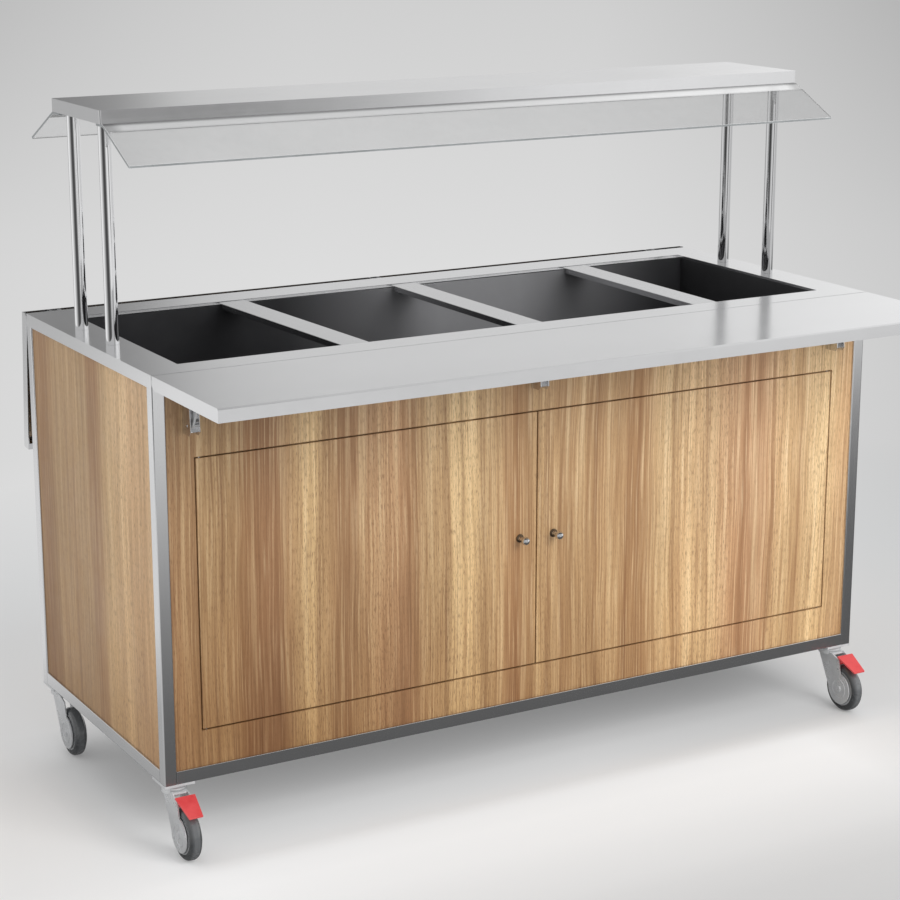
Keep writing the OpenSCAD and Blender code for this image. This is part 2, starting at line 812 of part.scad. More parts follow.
module fork() {
  difference() {
    union() {
      translate([0, 0, crown_low]) cylinder(r = race_r, h = crown_top - crown_low);
      block([-leg_out, leg_out], crown_y, [crown_low, crown_low + crown_thick]);
      both_ends() {
        side_profile([leg_in, leg_out]) leg_outline();
        difference() {
          rod_x(ring_r[1], [leg_out, leg_out + ring_high], -castor_trail, axle_up);
          rod_x(ring_r[0], [leg_out, leg_out + ring_high], -castor_trail, axle_up);
        }
        rod_x(axle_head_r, [leg_out, leg_out + axle_head], -castor_trail, axle_up);
      }
    }
    translate([0, 0, crown_low]) cylinder(r = king_r + running, h = crown_top - crown_low);
  }
  rod_x(axle_r, [-leg_out, leg_out], -castor_trail, axle_up);
}

module pedal_fork() {
  fork();
  rod_x(pedal_pin_r, [-leg_out - pin_stub, leg_out + pin_stub], -pedal_out, pedal_up);
}

module fork_front_left() color(dark_steel) at_castor(-1, 0) pedal_fork();
module fork_front_right() color(dark_steel) at_castor(1, 0) pedal_fork();
module fork_rear_left() color(dark_steel) at_castor(-1, 1) fork();
module fork_rear_right() color(dark_steel) at_castor(1, 1) fork();

// The hub is dished on both sides between its boss and its rim
hub_set = 1;
hub_boss = 11;
hub_rim = 3;
dish = 4;

module wheel_hub()
  translate([0, -castor_trail, axle_up]) rotate([0, 90, 0]) rotate_extrude()
    difference() {
      translate([axle_r + running, hub_set - wheel_width / 2])
        square([hub_r - axle_r - running, wheel_width - 2 * hub_set]);
      for (s = [-1, 1])
        translate([axle_r + hub_boss, s * wheel_width / 2 - dish])
          square([hub_r - hub_rim - axle_r - hub_boss, 2 * dish]);
    }

module wheel_tyre()
  translate([0, -castor_trail, axle_up]) rotate([0, 90, 0]) rotate_extrude() {
    translate([hub_r, -wheel_width / 2]) square([wheel_r - hub_r - shoulder, wheel_width]);
    translate([hub_r, shoulder - wheel_width / 2])
      square([wheel_r - hub_r, wheel_width - 2 * shoulder]);
    intersection() {
      translate([hub_r, -wheel_width / 2]) square([wheel_r - hub_r, wheel_width]);
      for (s = [-1, 1])
        translate([wheel_r - shoulder, s * (wheel_width / 2 - shoulder)]) circle(shoulder);
    }
  }

module hub_front_left() color(steel) at_castor(-1, 0) wheel_hub();
module hub_front_right() color(steel) at_castor(1, 0) wheel_hub();
module hub_rear_left() color(steel) at_castor(-1, 1) wheel_hub();
module hub_rear_right() color(steel) at_castor(1, 1) wheel_hub();
module tyre_front_left() color(black) at_castor(-1, 0) wheel_tyre();
module tyre_front_right() color(black) at_castor(1, 0) wheel_tyre();
module tyre_rear_left() color(black) at_castor(-1, 1) wheel_tyre();
module tyre_rear_right() color(black) at_castor(1, 1) wheel_tyre();

module brake_pedal()
  color([0.85, 0.2, 0.2]) difference() {
    union() {
      rod_x(pedal_hub_r, [-leg_in + pedal_play, leg_in - pedal_play], -pedal_out, pedal_up);
      side_profile([-leg_in + pedal_play, leg_in - pedal_play])
        polygon([[pedal_out - 4, pedal_up + 2], [pedal_out + 5, pedal_up - 2],
          [pedal_out + 14, pedal_up + 9], pedal_top]);
      translate([0, -pedal_top[0], pedal_top[1]]) rotate([pedal_angle, 0, 0])
        translate([0, 0, -pedal_thick]) linear_extrude(pedal_thick)
          polygon([[-pedal_wide[0], 0], [pedal_wide[0], 0], [pedal_wide[1], -pedal_len],
            [-pedal_wide[1], -pedal_len]]);
    }
    rod_x(pedal_pin_r + running, [-leg_in, leg_in], -pedal_out, pedal_up);
  }

module pedal_left() at_castor(-1, 0) brake_pedal();
module pedal_right() at_castor(1, 0) brake_pedal();

// Condensing unit on the cabinet floor at the right end
// Places along X are given as distances from the right end of the trolley
function from_end(insets) = [for (inset = insets) half - inset];
unit_x = from_end([370, 48]);
unit_y = [90, 560];
unit_fan_y = 270;
unit_fan_up = 300;
unit_low = panel_low + sheet;
unit_base_thick = 4;
unit_top = unit_low + unit_base_thick;
pot_inset = 285;
pot_x = half - pot_inset;
pot_y = 430;
pot_r = 72;
pot_foot = 12;
pot_high = 165;
dome_high = 32;
pot_foot_r = 12;
pot_seam = 4;
terminal_half = 28;
terminal_out = 22;
terminal_z = [50, 110];
condenser_x = from_end([108, 55]);
condenser_y = [120, 420];
condenser_top = 430;
shroud_thick = 3;
fan_r = 96;
fan_room = 6;
fan_hub_r = 22;
fan_shaft_r = 3;
blade_half = 18;
blade_turn = 25;
fan_x = from_end([138, 118]);
motor_x = from_end([188, 144]);
motor_r = 32;
saddle = 6;
saddle_inset = 10;
saddle_x = [motor_x[0] + saddle_inset, motor_x[1] - saddle_inset];
pipe_r = 4;
drier_r = 13;
drier_z = [440, 540];
liquid_up = 220;
hot_up = 470;
cold_up = 320;
pipe_inset = 20;

module unit_base()
  color(black) place() {
    block(unit_x, unit_y, [unit_low, unit_top]);
    block(saddle_x, [unit_fan_y - saddle, unit_fan_y + saddle],
      [unit_top, unit_fan_up - motor_r - saddle / 2]);
    difference() {
      block(saddle_x, [unit_fan_y - motor_r - saddle, unit_fan_y + motor_r + saddle],
        [unit_fan_up - motor_r - saddle, unit_fan_up]);
      rod_x(motor_r, motor_x, unit_fan_y, unit_fan_up);
    }
  }

module compressor()
  color(black) place() translate([pot_x, pot_y, unit_top]) {
    for (a = [45:90:315])
      rotate([0, 0, a]) translate([pot_r - pot_seam, 0, 0]) cylinder(r = pot_foot_r, h = pot_foot - 2);
    translate([0, 0, pot_foot - pot_seam]) cylinder(r = pot_r + pot_seam, h = pot_seam + 1);
    translate([0, 0, pot_foot]) {
      cylinder(r = pot_r, h = pot_high - dome_high);
      translate([0, 0, pot_high - dome_high])
        cylinder(r1 = pot_r, r2 = pot_r * 0.8, h = dome_high * 0.6);
      translate([0, 0, pot_high - dome_high * 0.4])
        cylinder(r1 = pot_r * 0.8, r2 = pot_r * 0.4, h = dome_high * 0.4);
    }
    block([-terminal_half, terminal_half], [-pot_r - terminal_out, 2 - pot_r], terminal_z);
  }

fins = 24;
fin_thick = 1.5;
side_thick = 4;
header = 6;
condenser_mid = (condenser_x[0] + condenser_x[1]) / 2;

module condenser() {
  step = (condenser_y[1] - condenser_y[0] - side_thick) / fins;
  color(steel) place() {
    for (z = [unit_top, condenser_top - header])
      block(condenser_x, condenser_y, [z, z + header]);
    for (y = [condenser_y[0], condenser_y[1] - side_thick])
      block(condenser_x, [y, y + side_thick], [unit_top, condenser_top]);
    for (i = [1:fins - 1], y = [condenser_y[0] + (side_thick - fin_thick) / 2 + i * step])
      block(condenser_x, [y, y + fin_thick], [unit_top, condenser_top]);
    difference() {
      block([condenser_x[0] - shroud_thick, condenser_x[0]], condenser_y, [unit_top, condenser_top]);
      rod_x(fan_r + fan_room, [condenser_x[0] - shroud_thick, condenser_x[0]], unit_fan_y, unit_fan_up);
    }
  }
}

module fan_motor()
  color(black) place() {
    rod_x(motor_r, motor_x, unit_fan_y, unit_fan_up);
    rod_x(fan_shaft_r, [motor_x[1], fan_x[1] + 4], unit_fan_y, unit_fan_up);
  }

fan_blades = 5;

module fan()
  color(steel) place() translate([0, unit_fan_y, unit_fan_up]) difference() {
    union() {
      rod_x(fan_hub_r, fan_x, 0, 0);
      for (i = [0:fan_blades - 1])
        rotate([i * 360 / fan_blades, 0, 0])
          translate([(fan_x[0] + fan_x[1]) / 2, 0, fan_hub_r - 3]) rotate([0, 0, blade_turn])
            block([-1, 1], [-blade_half, blade_half], [0, fan_r - fan_hub_r - 2]);
    }
    rod_x(fan_shaft_r + running, [fan_x[0], fan_x[1]], 0, 0);
  }

module refrigerant_pipes()
  color(copper) place() {
    translate([coil_end, coil_last, cold_up - pipe_r])
      cylinder(r = pipe_r, h = tail_low - cold_up + pipe_r);
    rod_y(pipe_r, coil_end, [pot_y - pipe_r, coil_last], cold_up);
    rod_x(pipe_r, [pot_x + pot_r, coil_end], pot_y, cold_up);
    translate([pot_x, pot_y, unit_top + pot_foot + pot_high]) cylinder(r = pipe_r,
      h = hot_up + pipe_r - unit_top - pot_foot - pot_high);
    rod_x(pipe_r, [pot_x, condenser_mid + pipe_r], pot_y, hot_up);
    rod_y(pipe_r, condenser_mid, [condenser_y[1] - pipe_inset, pot_y], hot_up);
    translate([condenser_mid, condenser_y[1] - pipe_inset, condenser_top])
      cylinder(r = pipe_r, h = hot_up + pipe_r - condenser_top);
    rod_y(pipe_r, condenser_mid, [coil_y, condenser_y[0]], liquid_up);
    rod_x(pipe_r, [coil_end, condenser_mid + pipe_r], coil_y, liquid_up);
    translate([coil_end, coil_y, liquid_up - pipe_r])
      cylinder(r = pipe_r, h = tail_low - liquid_up + pipe_r);
    translate([coil_end, coil_y, drier_z[0]]) cylinder(r = drier_r, h = drier_z[1] - drier_z[0]);
  }

// Right end, out of view: grille, temperature control with its switch, cable gland
grille_y = [130, 410];
grille_z = [200, 430];
grille_lap = 12;
grille_thick = 2.5;
grille_slots = 9;
grille_slot = 10;
grille_pitch = 25;
grille_rim = [6, 8];
control_y = [150, 330];
control_z = [560, 620];
control_lap = 6;
control_thick = 3;
control_deep = 45;
rocker_y = 295;
rocker_up = 590;
rocker_half = [7, 11];
rocker_pin_r = 1.5;
rocker_swing = 10;
rocker_r = 14;
rocker_front = [-5, 8];
rocker_deep = 18;
rocker_room = [0.5, 3];
ear_long = 3.5;
ear_room = 0.5;
window_inset = 15;
window_long = 70;
window_deep = 1;
box_inset = 1;
gland_inset = 150;
gland_x = half - gland_inset;
gland_up = 200;
gland_r = 8;
gland_hex_r = 12;
gland_bore = 4.5;
gland_long = 16;
gland_rim = 2;
gland_stub = 8;
gland_nut = 5;

module vent_grille()
  color(steel) place() difference() {
    block([half - panel_recess, half - panel_recess + grille_thick],
      [grille_y[0] - grille_lap, grille_y[1] + grille_lap],
      [grille_z[0] - grille_lap, grille_z[1] + grille_lap]);
    for (i = [0:grille_slots - 1], z = [grille_z[0] + grille_rim[1] + i * grille_pitch])
      block([inner, half], [grille_y[0] + grille_rim[0], grille_y[1] - grille_rim[0]],
        [z, z + grille_slot]);
  }

function rocker_span(reach) = [-reach, reach];

module control_panel()
  color(black) place() difference() {
    union() {
      block([half - panel_recess, half - panel_recess + control_thick], control_y, control_z);
      block([half - panel_recess - control_deep, half - panel_recess],
        [control_y[0] + control_lap + box_inset, control_y[1] - control_lap - box_inset],
        [control_z[0] + control_lap + box_inset, control_z[1] - control_lap - box_inset]);
    }
    block([half - panel_recess + control_thick - window_deep, half],
      [control_y[0] + window_inset, control_y[0] + window_inset + window_long],
      [control_z[0] + window_inset, control_z[1] - window_inset]);
    translate([0, rocker_y, rocker_up]) {
      block([half - panel_recess - rocker_deep, half], rocker_span(rocker_half[0] + rocker_room[0]),
        rocker_span(rocker_half[1] + rocker_room[1]));
      rod_y(rocker_pin_r + running, half - panel_recess - rocker_half[0],
        rocker_span(rocker_half[0] + ear_long + ear_room), 0);
    }
  }

// Rocker resting in its off position
module rocker()
  color([0.8, 0.15, 0.1]) place()
    translate([half - panel_recess - rocker_half[0], rocker_y, rocker_up]) rotate([0, rocker_swing, 0]) {
      rod_y(rocker_pin_r, 0, rocker_span(rocker_half[0] + ear_long), 0);
      intersection() {
        rod_y(rocker_r, 0, rocker_span(rocker_half[0]), 0);
        block(rocker_front, rocker_span(rocker_half[0]), rocker_span(rocker_half[1]));
      }
    }

module cable_gland()
  color(black) place() translate([gland_x, depth - panel_recess, gland_up]) difference() {
    union() {
      rotate([-90, 0, 0]) cylinder(r = gland_hex_r, h = gland_long / 2, $fn = 6);
      rod_y(gland_r + gland_rim, 0, [gland_long / 2, gland_long], 0);
      rod_y(gland_r, 0, [-panel_thick - gland_stub, 0], 0);
      rotate([90, 0, 0]) translate([0, 0, panel_thick]) cylinder(r = gland_hex_r, h = gland_nut, $fn = 6);
    }
    rod_y(gland_bore, 0, [-gland_long - panel_thick, 2 * gland_long], 0);
  }

corner_posts();
bottom_rails_long();
bottom_rails_short();
top_rails();
floor_panel();
panel_left();
panel_right();
panel_rear();
door_surround();
door_pivots();
door_left();
door_right();
knob_left();
knob_right();
magnet_catch();
worktop();
divider_bar_1();
divider_bar_2();
divider_bar_3();
well_tank();
insulation_jacket();
evaporator();
drain_valve();
valve_lever();
canopy();
canopy_posts();
guard_front();
guard_rear();
guard_screws();
front_tray();
rear_tray();
front_brackets();
rear_brackets();
front_stays();
rear_stays();
castor_plates();
fork_front_left();
fork_front_right();
fork_rear_left();
fork_rear_right();
hub_front_left();
hub_front_right();
hub_rear_left();
hub_rear_right();
tyre_front_left();
tyre_front_right();
tyre_rear_left();
tyre_rear_right();
pedal_left();
pedal_right();
unit_base();
compressor();
condenser();
fan_motor();
fan();
refrigerant_pipes();
vent_grille();
control_panel();
rocker();
cable_gland();
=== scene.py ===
# %% [markdown]
# # A refrigerated buffet trolley, dressed for its picture
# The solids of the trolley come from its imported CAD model. This file gives them the
# rounded edges, bent sheets, wood, steel and glass of the real thing. Every cell makes
# one piece or one finish, and the cell before it says why it is made that way.
# All sizes are metres, X runs along the worktop, Y from the doors to the rear, Z up.

import json
import math

import bmesh
import bpy
from mathutils import Matrix, Vector


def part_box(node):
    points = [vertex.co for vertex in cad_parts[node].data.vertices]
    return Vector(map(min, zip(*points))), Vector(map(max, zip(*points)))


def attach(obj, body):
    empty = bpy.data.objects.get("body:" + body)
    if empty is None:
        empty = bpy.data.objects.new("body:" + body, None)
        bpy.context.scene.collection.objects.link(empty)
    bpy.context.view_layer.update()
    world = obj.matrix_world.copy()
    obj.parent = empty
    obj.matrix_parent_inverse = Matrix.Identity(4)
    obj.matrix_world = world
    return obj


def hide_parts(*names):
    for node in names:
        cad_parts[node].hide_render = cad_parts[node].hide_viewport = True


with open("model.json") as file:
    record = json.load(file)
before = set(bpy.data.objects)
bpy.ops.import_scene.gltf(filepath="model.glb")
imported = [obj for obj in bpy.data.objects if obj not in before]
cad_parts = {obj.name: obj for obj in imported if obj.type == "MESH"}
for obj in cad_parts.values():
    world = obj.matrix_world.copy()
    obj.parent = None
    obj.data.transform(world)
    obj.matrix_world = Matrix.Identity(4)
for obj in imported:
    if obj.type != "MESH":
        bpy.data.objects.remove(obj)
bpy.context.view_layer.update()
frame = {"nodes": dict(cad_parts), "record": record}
nodes = frame["nodes"]

# %% [markdown]
# ## Bodies
# Every piece rides on the body that its solid belongs to. The record lists the solids
# of each body, and this cell turns that list round.

# %% The body of each solid
bodies = frame["record"]["behaviour"]["bodies"]
body_of_node = {member: body for body, members in bodies.items() for member in members}

# %% [markdown]
# ## Small helpers for node trees
# Shaders reckon in linear light, but a colour is easiest to read off a photograph as the
# three numbers that a screen shows. One helper turns the second into the first.


# %% Colours
def shade(red, green, blue):
    """A colour as seen on a screen, 0 to 255, turned into the linear values of a shader."""
    linear = [c / 12.92 if c <= 0.04045 else ((c + 0.055) / 1.055) ** 2.4
              for c in (red / 255, green / 255, blue / 255)]
    return (*linear, 1.0)


def grey(level):
    return (level, level, level, 1.0)


# %% [markdown]
# A procedural finish is a chain of small sums. These helpers write each link of it in one
# line, and take either a number or the socket of another node, so that the two mix freely.


# %% Sums
def put(tree, value, socket):
    if isinstance(value, bpy.types.NodeSocket):
        tree.links.new(value, socket)
    else:
        socket.default_value = value


def maths(tree, operation, *values, clamp=False):
    node = tree.nodes.new("ShaderNodeMath")
    node.operation = operation
    node.use_clamp = clamp
    for value, socket in zip(values, node.inputs):
        put(tree, value, socket)
    return node.outputs[0]


def product(tree, first, *others):
    for other in others:
        first = maths(tree, "MULTIPLY", first, other)
    return first


def weighed(tree, first, share, second, other_share):
    """The sum of two values, each times its own share."""
    return maths(tree, "ADD", product(tree, first, share), product(tree, second, other_share))


def spread(tree, value, low, high, to_low=0.0, to_high=1.0):
    """Takes the range from low to high to another range, and stops at its ends."""
    node = tree.nodes.new("ShaderNodeMapRange")
    for name, given in (("Value", value), ("From Min", low), ("From Max", high),
                        ("To Min", to_low), ("To Max", to_high)):
        put(tree, given, node.inputs[name])
    return node.outputs["Result"]


# %% [markdown]
# Patterns are laid out in space, so they need the same sums for vectors, a way to take a
# place apart and put it together, and the place itself on the piece.


# %% Vectors and places
def vector_maths(tree, operation, *vectors):
    node = tree.nodes.new("ShaderNodeVectorMath")
    node.operation = operation
    for vector, socket in zip(vectors, node.inputs):
        put(tree, vector, socket)
    return node.outputs


def stretched(tree, vector, factors):
    return vector_maths(tree, "MULTIPLY", vector, factors)["Vector"]


def length_of(tree, vector):
    return vector_maths(tree, "LENGTH", vector)["Value"]


def vector_of(tree, *values):
    node = tree.nodes.new("ShaderNodeCombineXYZ")
    for value, socket in zip(values, node.inputs):
        put(tree, value, socket)
    return node.outputs[0]


def parts_of(tree, vector):
    node = tree.nodes.new("ShaderNodeSeparateXYZ")
    put(tree, vector, node.inputs[0])
    return node.outputs


def here(tree):
    """Object coordinates: fixed to the piece, so a pattern never slides as it moves."""
    return tree.nodes.new("ShaderNodeTexCoord").outputs["Object"]


def turned(tree, rotation=(0, 0, 0), shift=(0, 0, 0)):
    node = tree.nodes.new("ShaderNodeMapping")
    put(tree, here(tree), node.inputs["Vector"])
    node.inputs["Rotation"].default_value = rotation
    node.inputs["Location"].default_value = shift
    return node.outputs[0]


# %% [markdown]
# Noise is the source of every pattern here, because real wear and grain never repeat. A
# blend or a ramp turns it into colour, and a bump into relief that costs no geometry.


# %% Patterns and colours over a surface
def noise(tree, vector, scale, detail=3.0, rough=0.5):
    node = tree.nodes.new("ShaderNodeTexNoise")
    for name, given in (("Vector", vector), ("Scale", scale), ("Detail", detail),
                        ("Roughness", rough)):
        put(tree, given, node.inputs[name])
    return node.outputs["Fac"]


def blend_colour(tree, factor, first, second):
    node = tree.nodes.new("ShaderNodeMix")
    node.data_type = "RGBA"
    put(tree, factor, node.inputs["Factor"])
    put(tree, first, node.inputs[6])
    put(tree, second, node.inputs[7])
    return node.outputs[2]


def grey_ramp(tree, value, stops):
    """Greys along a value from 0 to 1, given as (place, level) stops."""
    node = tree.nodes.new("ShaderNodeValToRGB")
    put(tree, value, node.inputs[0])
    for place, level in stops[1:-1]:
        node.color_ramp.elements.new(place)
    for element, (place, level) in zip(node.color_ramp.elements, stops):
        element.position = place
        element.color = grey(level)
    return node.outputs["Color"]


def bump(tree, height, strength, distance):
    node = tree.nodes.new("ShaderNodeBump")
    put(tree, height, node.inputs["Height"])
    node.inputs["Strength"].default_value = strength
    node.inputs["Distance"].default_value = distance
    return node.outputs["Normal"]


# %% [markdown]
# ## Effects that several finishes share
# Brush lines, handling marks and worn edges turn up on steel, zinc, paint and plastic
# alike. Each is built once as a group and placed in each material with its own values.


# %% A way to start a group, and to place one
def add_sockets(tree, inputs, outputs):
    for label, kind, default in inputs:
        socket = tree.interface.new_socket(label, in_out="INPUT", socket_type=kind)
        if default is not None:
            socket.default_value = default
    for label, kind in outputs:
        tree.interface.new_socket(label, in_out="OUTPUT", socket_type=kind)
    return tree.nodes.new("NodeGroupInput").outputs, tree.nodes.new("NodeGroupOutput").inputs


def new_group(name, inputs, *masks):
    tree = bpy.data.node_groups.new(name, "ShaderNodeTree")
    vector = ("Vector", "NodeSocketVector", (0, 0, 0))
    numbers = [(label, "NodeSocketFloat", default) for label, default in inputs]
    outputs = [(label, "NodeSocketFloat") for label in masks]
    return (tree, *add_sockets(tree, [vector] + numbers, outputs))


def place_group(tree, group, **values):
    node = tree.nodes.new("ShaderNodeGroup")
    node.node_tree = group
    for name, value in values.items():
        put(tree, value, node.inputs[name])
    return node.outputs


# %% [markdown]
# Brushed sheet carries very fine parallel scratches, a metre long and a fraction of a
# millimetre wide. Noise squeezed across and pulled along gives them. The lines run
# along the group's X, and a Mapping node in the material turns them. Most of a noise
# lies between 0.3 and 0.7, so that part is spread to the full range.

# %% Brush lines
NOISE_CORE = 0.3, 0.7
brush_lines, given, result = new_group(
    "brush lines", [("Lines", 900.0), ("Reach", 3.0)], "Streak", "Cloud")
t = brush_lines
squeeze = vector_of(t, given["Reach"], given["Lines"], given["Lines"])
lines = noise(t, stretched(t, given["Vector"], squeeze), 1.0, 2.0)
put(t, spread(t, lines, *NOISE_CORE), result["Streak"])
cloud = noise(t, stretched(t, given["Vector"], (0.5, 4.0, 4.0)), 1.0, 1.0)
put(t, spread(t, cloud, *NOISE_CORE), result["Cloud"])
print("group", t.name, len(t.nodes), "nodes")

# %% [markdown]
# Wiped and handled surfaces are never evenly glossy. Soft patches of two sizes stand
# for the film that a cloth leaves and for fingers.

# %% Handling marks
handling, given, result = new_group("handling marks", [("Size", 6.0)], "Mask")
t = handling
broad = noise(t, given["Vector"], given["Size"], 3.0, 0.55)
small = noise(t, given["Vector"], product(t, given["Size"], 9.0), 2.0)
put(t, spread(t, weighed(t, broad, 0.7, small, 0.3), 0.38, 0.62), result["Mask"])
print("group", t.name, len(t.nodes), "nodes")

# %% [markdown]
# Paint, lacquer and plastic rub thin on their edges first. The Bevel node gives the
# normal that a rounded edge would have; where it differs from the real normal, there
# is an edge, and noise breaks the line up.

# %% Worn edges
worn_edges, given, result = new_group("worn edges", [("Radius", 0.002)], "Mask")
t = worn_edges
rounded = t.nodes.new("ShaderNodeBevel")
rounded.samples = 4
put(t, given["Radius"], rounded.inputs["Radius"])
true_normal = t.nodes.new("ShaderNodeNewGeometry").outputs["Normal"]
facing = vector_maths(t, "DOT_PRODUCT", rounded.outputs[0], true_normal)["Value"]
chips = spread(t, noise(t, given["Vector"], 90.0), 0.3, 0.5, 0.35, 1.0)
put(t, product(t, spread(t, facing, 0.99, 0.85), chips), result["Mask"])
print("group", t.name, len(t.nodes), "nodes")


# %% [markdown]
# ## Finishes
# Every material is one Principled shader. A value that is the same everywhere stands on
# the shader's own socket, and only what changes over the surface is linked.


# %% A way to start a material
def new_material(name, **fixed):
    material = bpy.data.materials.new(name)
    material.use_nodes = True
    tree = material.node_tree
    shader = tree.nodes["Principled BSDF"]
    for label, value in fixed.items():
        shader.inputs[label.replace("_", " ")].default_value = value
    return material, tree, shader.inputs


# %% [markdown]
# The frame, worktop, trays and canopy are brushed stainless sheet. Its lines follow the
# length of each piece, so there is one material for pieces along X, one along Y and one
# upright. The loose bars are duller from use. The canopy's tubes are polished, and a
# painted shade makes them darker towards the right.

# %% Brushed steel
ALONG = {"x": (0, 0, 0), "y": (0, 0, math.pi / 2), "z": (0, math.pi / 2, 0)}
SATIN, POLISHED = (0.15, 0.21), (0.05, 0.08)  # roughness, from and to


def steel_grey(level):
    """Steel is a trace cooler than plain grey."""
    return (level, level + 0.002, level + 0.01, 1.0)


def brushed_steel(name, along, dark, light, rough=SATIN, right_shade=1.0):
    material, tree, shader = new_material(name, Metallic=1.0)
    vector = turned(tree, ALONG[along])
    lines = place_group(tree, brush_lines, Vector=vector)
    marks = place_group(tree, handling, Vector=vector)
    tone = weighed(tree, lines["Streak"], 0.35, lines["Cloud"], 0.65)
    colour = blend_colour(tree, tone, steel_grey(dark), steel_grey(light))
    # Painted shade: the colour darkens towards the right by the last factor given; at 1.0 it stays
    # plain.
    x = parts_of(tree, here(tree))["X"]
    colour = stretched(tree, colour, spread(tree, x, -0.5, 0.7, 1.0, right_shade))
    put(tree, colour, shader["Base Color"])
    gloss = weighed(tree, lines["Streak"], 0.5, marks["Mask"], 0.5)
    put(tree, spread(tree, gloss, 0.0, 1.0, *rough), shader["Roughness"])
    put(tree, bump(tree, lines["Streak"], 0.02, 0.0001), shader["Normal"])
    return material


steel = {way: brushed_steel("steel_along_" + way, way, 0.745, 0.785) for way in ALONG}
bar_steel = brushed_steel("bar_steel", "y", 0.60, 0.65)
post_steel = brushed_steel("polished_post", "z", 0.80, 0.84, POLISHED, right_shade=0.78)
print("steel ready", list(steel))

# %% [markdown]
# Bright chrome for the knobs, zinc plating with its faint crystal clouds for the
# castors, a dark brown metal behind the knobs, painted with their shade and the wood
# they reflect, mill-finish aluminium for the fins, and drawn copper for the pipes. Zinc
# is dull enough to need only a part of a metal's mirror.


# %% Other metals
def plated(name, dark, light, low, high, size=30.0, metallic=1.0):
    material, tree, shader = new_material(name, Metallic=metallic)
    vector = here(tree)
    marks = place_group(tree, handling, Vector=vector, Size=size)
    put(tree, blend_colour(tree, marks["Mask"], (*dark, 1), (*light, 1)), shader["Base Color"])
    put(tree, spread(tree, marks["Mask"], 0.0, 1.0, high, low), shader["Roughness"])
    put(tree, bump(tree, noise(tree, vector, 900.0, 2.0), 0.1, 0.00005), shader["Normal"])
    return material


chrome = plated("chrome", (0.66, 0.67, 0.68), (0.80, 0.80, 0.81), 0.03, 0.10)
zinc = plated("bright_zinc", (0.66, 0.67, 0.68), (0.76, 0.77, 0.78), 0.26, 0.36, 40.0, 0.35)
plate_zinc = plated("dull_zinc", (0.58, 0.59, 0.60), (0.66, 0.67, 0.68), 0.5, 0.62, 40.0, 0.2)
# Painted shade and painted reflection of the wood: the dark brown of the knobs' foot plates.
shaded_brown_foot = plated("brown_bronze", (0.16, 0.115, 0.075), (0.22, 0.16, 0.11), 0.3, 0.45)
aluminium = plated("mill_aluminium", (0.70, 0.71, 0.73), (0.82, 0.83, 0.84), 0.3, 0.45)
copper = plated("drawn_copper", (0.62, 0.30, 0.17), (0.83, 0.47, 0.32), 0.22, 0.4)
print("metals ready")

# %% [markdown]
# Plastic, rubber, paint and foam share one recipe: a colour that varies a little, a
# gloss that varies with handling, a fine surface texture, and paler rubbed edges.


# %% Paint, plastic and foam
HAND_SIZE = 14.0


def coated(name, dark, light, low, high, grain=600.0, depth=0.0003, wear=None):
    material, tree, shader = new_material(name)
    vector = here(tree)
    marks = place_group(tree, handling, Vector=vector, Size=HAND_SIZE)
    colour = blend_colour(tree, marks["Mask"], shade(*dark), shade(*light))
    if wear:
        rubbed = place_group(tree, worn_edges, Vector=vector)
        colour = blend_colour(tree, product(tree, rubbed["Mask"], 0.5), colour, shade(*wear))
    put(tree, colour, shader["Base Color"])
    put(tree, spread(tree, marks["Mask"], 0.0, 1.0, low, high), shader["Roughness"])
    put(tree, bump(tree, noise(tree, vector, grain), 0.3, depth), shader["Normal"])
    return material


black_plastic = coated("black_plastic", (26, 26, 27), (36, 36, 38), 0.4, 0.55)
black_paint = coated("black_paint", (28, 29, 30), (40, 41, 43), 0.32, 0.5, wear=(110, 110, 112))
hub_plastic = coated("hub_plastic", (176, 178, 180), (196, 198, 200), 0.3, 0.42)
pedal_red = coated("pedal_red", (214, 62, 66), (228, 84, 86), 0.42, 0.6, 1500.0,
                   wear=(240, 130, 128))
lever_red = coated("lever_red", (150, 20, 16), (176, 30, 24), 0.2, 0.35)
foam_black = coated("foam_black", (34, 34, 35), (50, 50, 52), 0.75, 0.9, 2200.0, 0.0008)
sawn_edge = coated("sawn_edge", (150, 153, 154), (168, 171, 172), 0.3, 0.45)
print("coatings ready")

# %% [markdown]
# Grey castor tyres polish on the sides and are paler on the tread, partly from wear where
# it meets the floor and partly as a painted highlight.
# The tread is where the surface doesn't face along the axle.

# %% Tyre rubber
tyre_rubber, tree, shader = new_material("tyre_rubber", Coat_Weight=1.0, Coat_Roughness=0.08)
outward = tree.nodes.new("ShaderNodeTexCoord").outputs["Normal"]
along_axle = maths(tree, "ABSOLUTE", parts_of(tree, outward)["X"])
# Tread wear and painted highlight: paler where the surface doesn't face along the axle.
tread_wear_and_sheen = product(tree, spread(tree, along_axle, 0.75, 0.1), 0.8)
marks = place_group(tree, handling, Vector=here(tree), Size=HAND_SIZE)
sides = blend_colour(tree, marks["Mask"], shade(58, 60, 62), shade(72, 74, 76))
put(tree, blend_colour(tree, tread_wear_and_sheen, sides, shade(106, 108, 110)), shader["Base Color"])
put(tree, spread(tree, marks["Mask"], 0.0, 1.0, 0.2, 0.3), shader["Roughness"])
print("rubber ready")

# %% [markdown]
# The well is lined with a dark satin sheet. A painted sheen makes its middle pale,
# while both ends stay almost black.

# %% Well lining
sheen_middle = 0.19
tank_dark, tree, shader = new_material("tank_dark", Metallic=0.2)
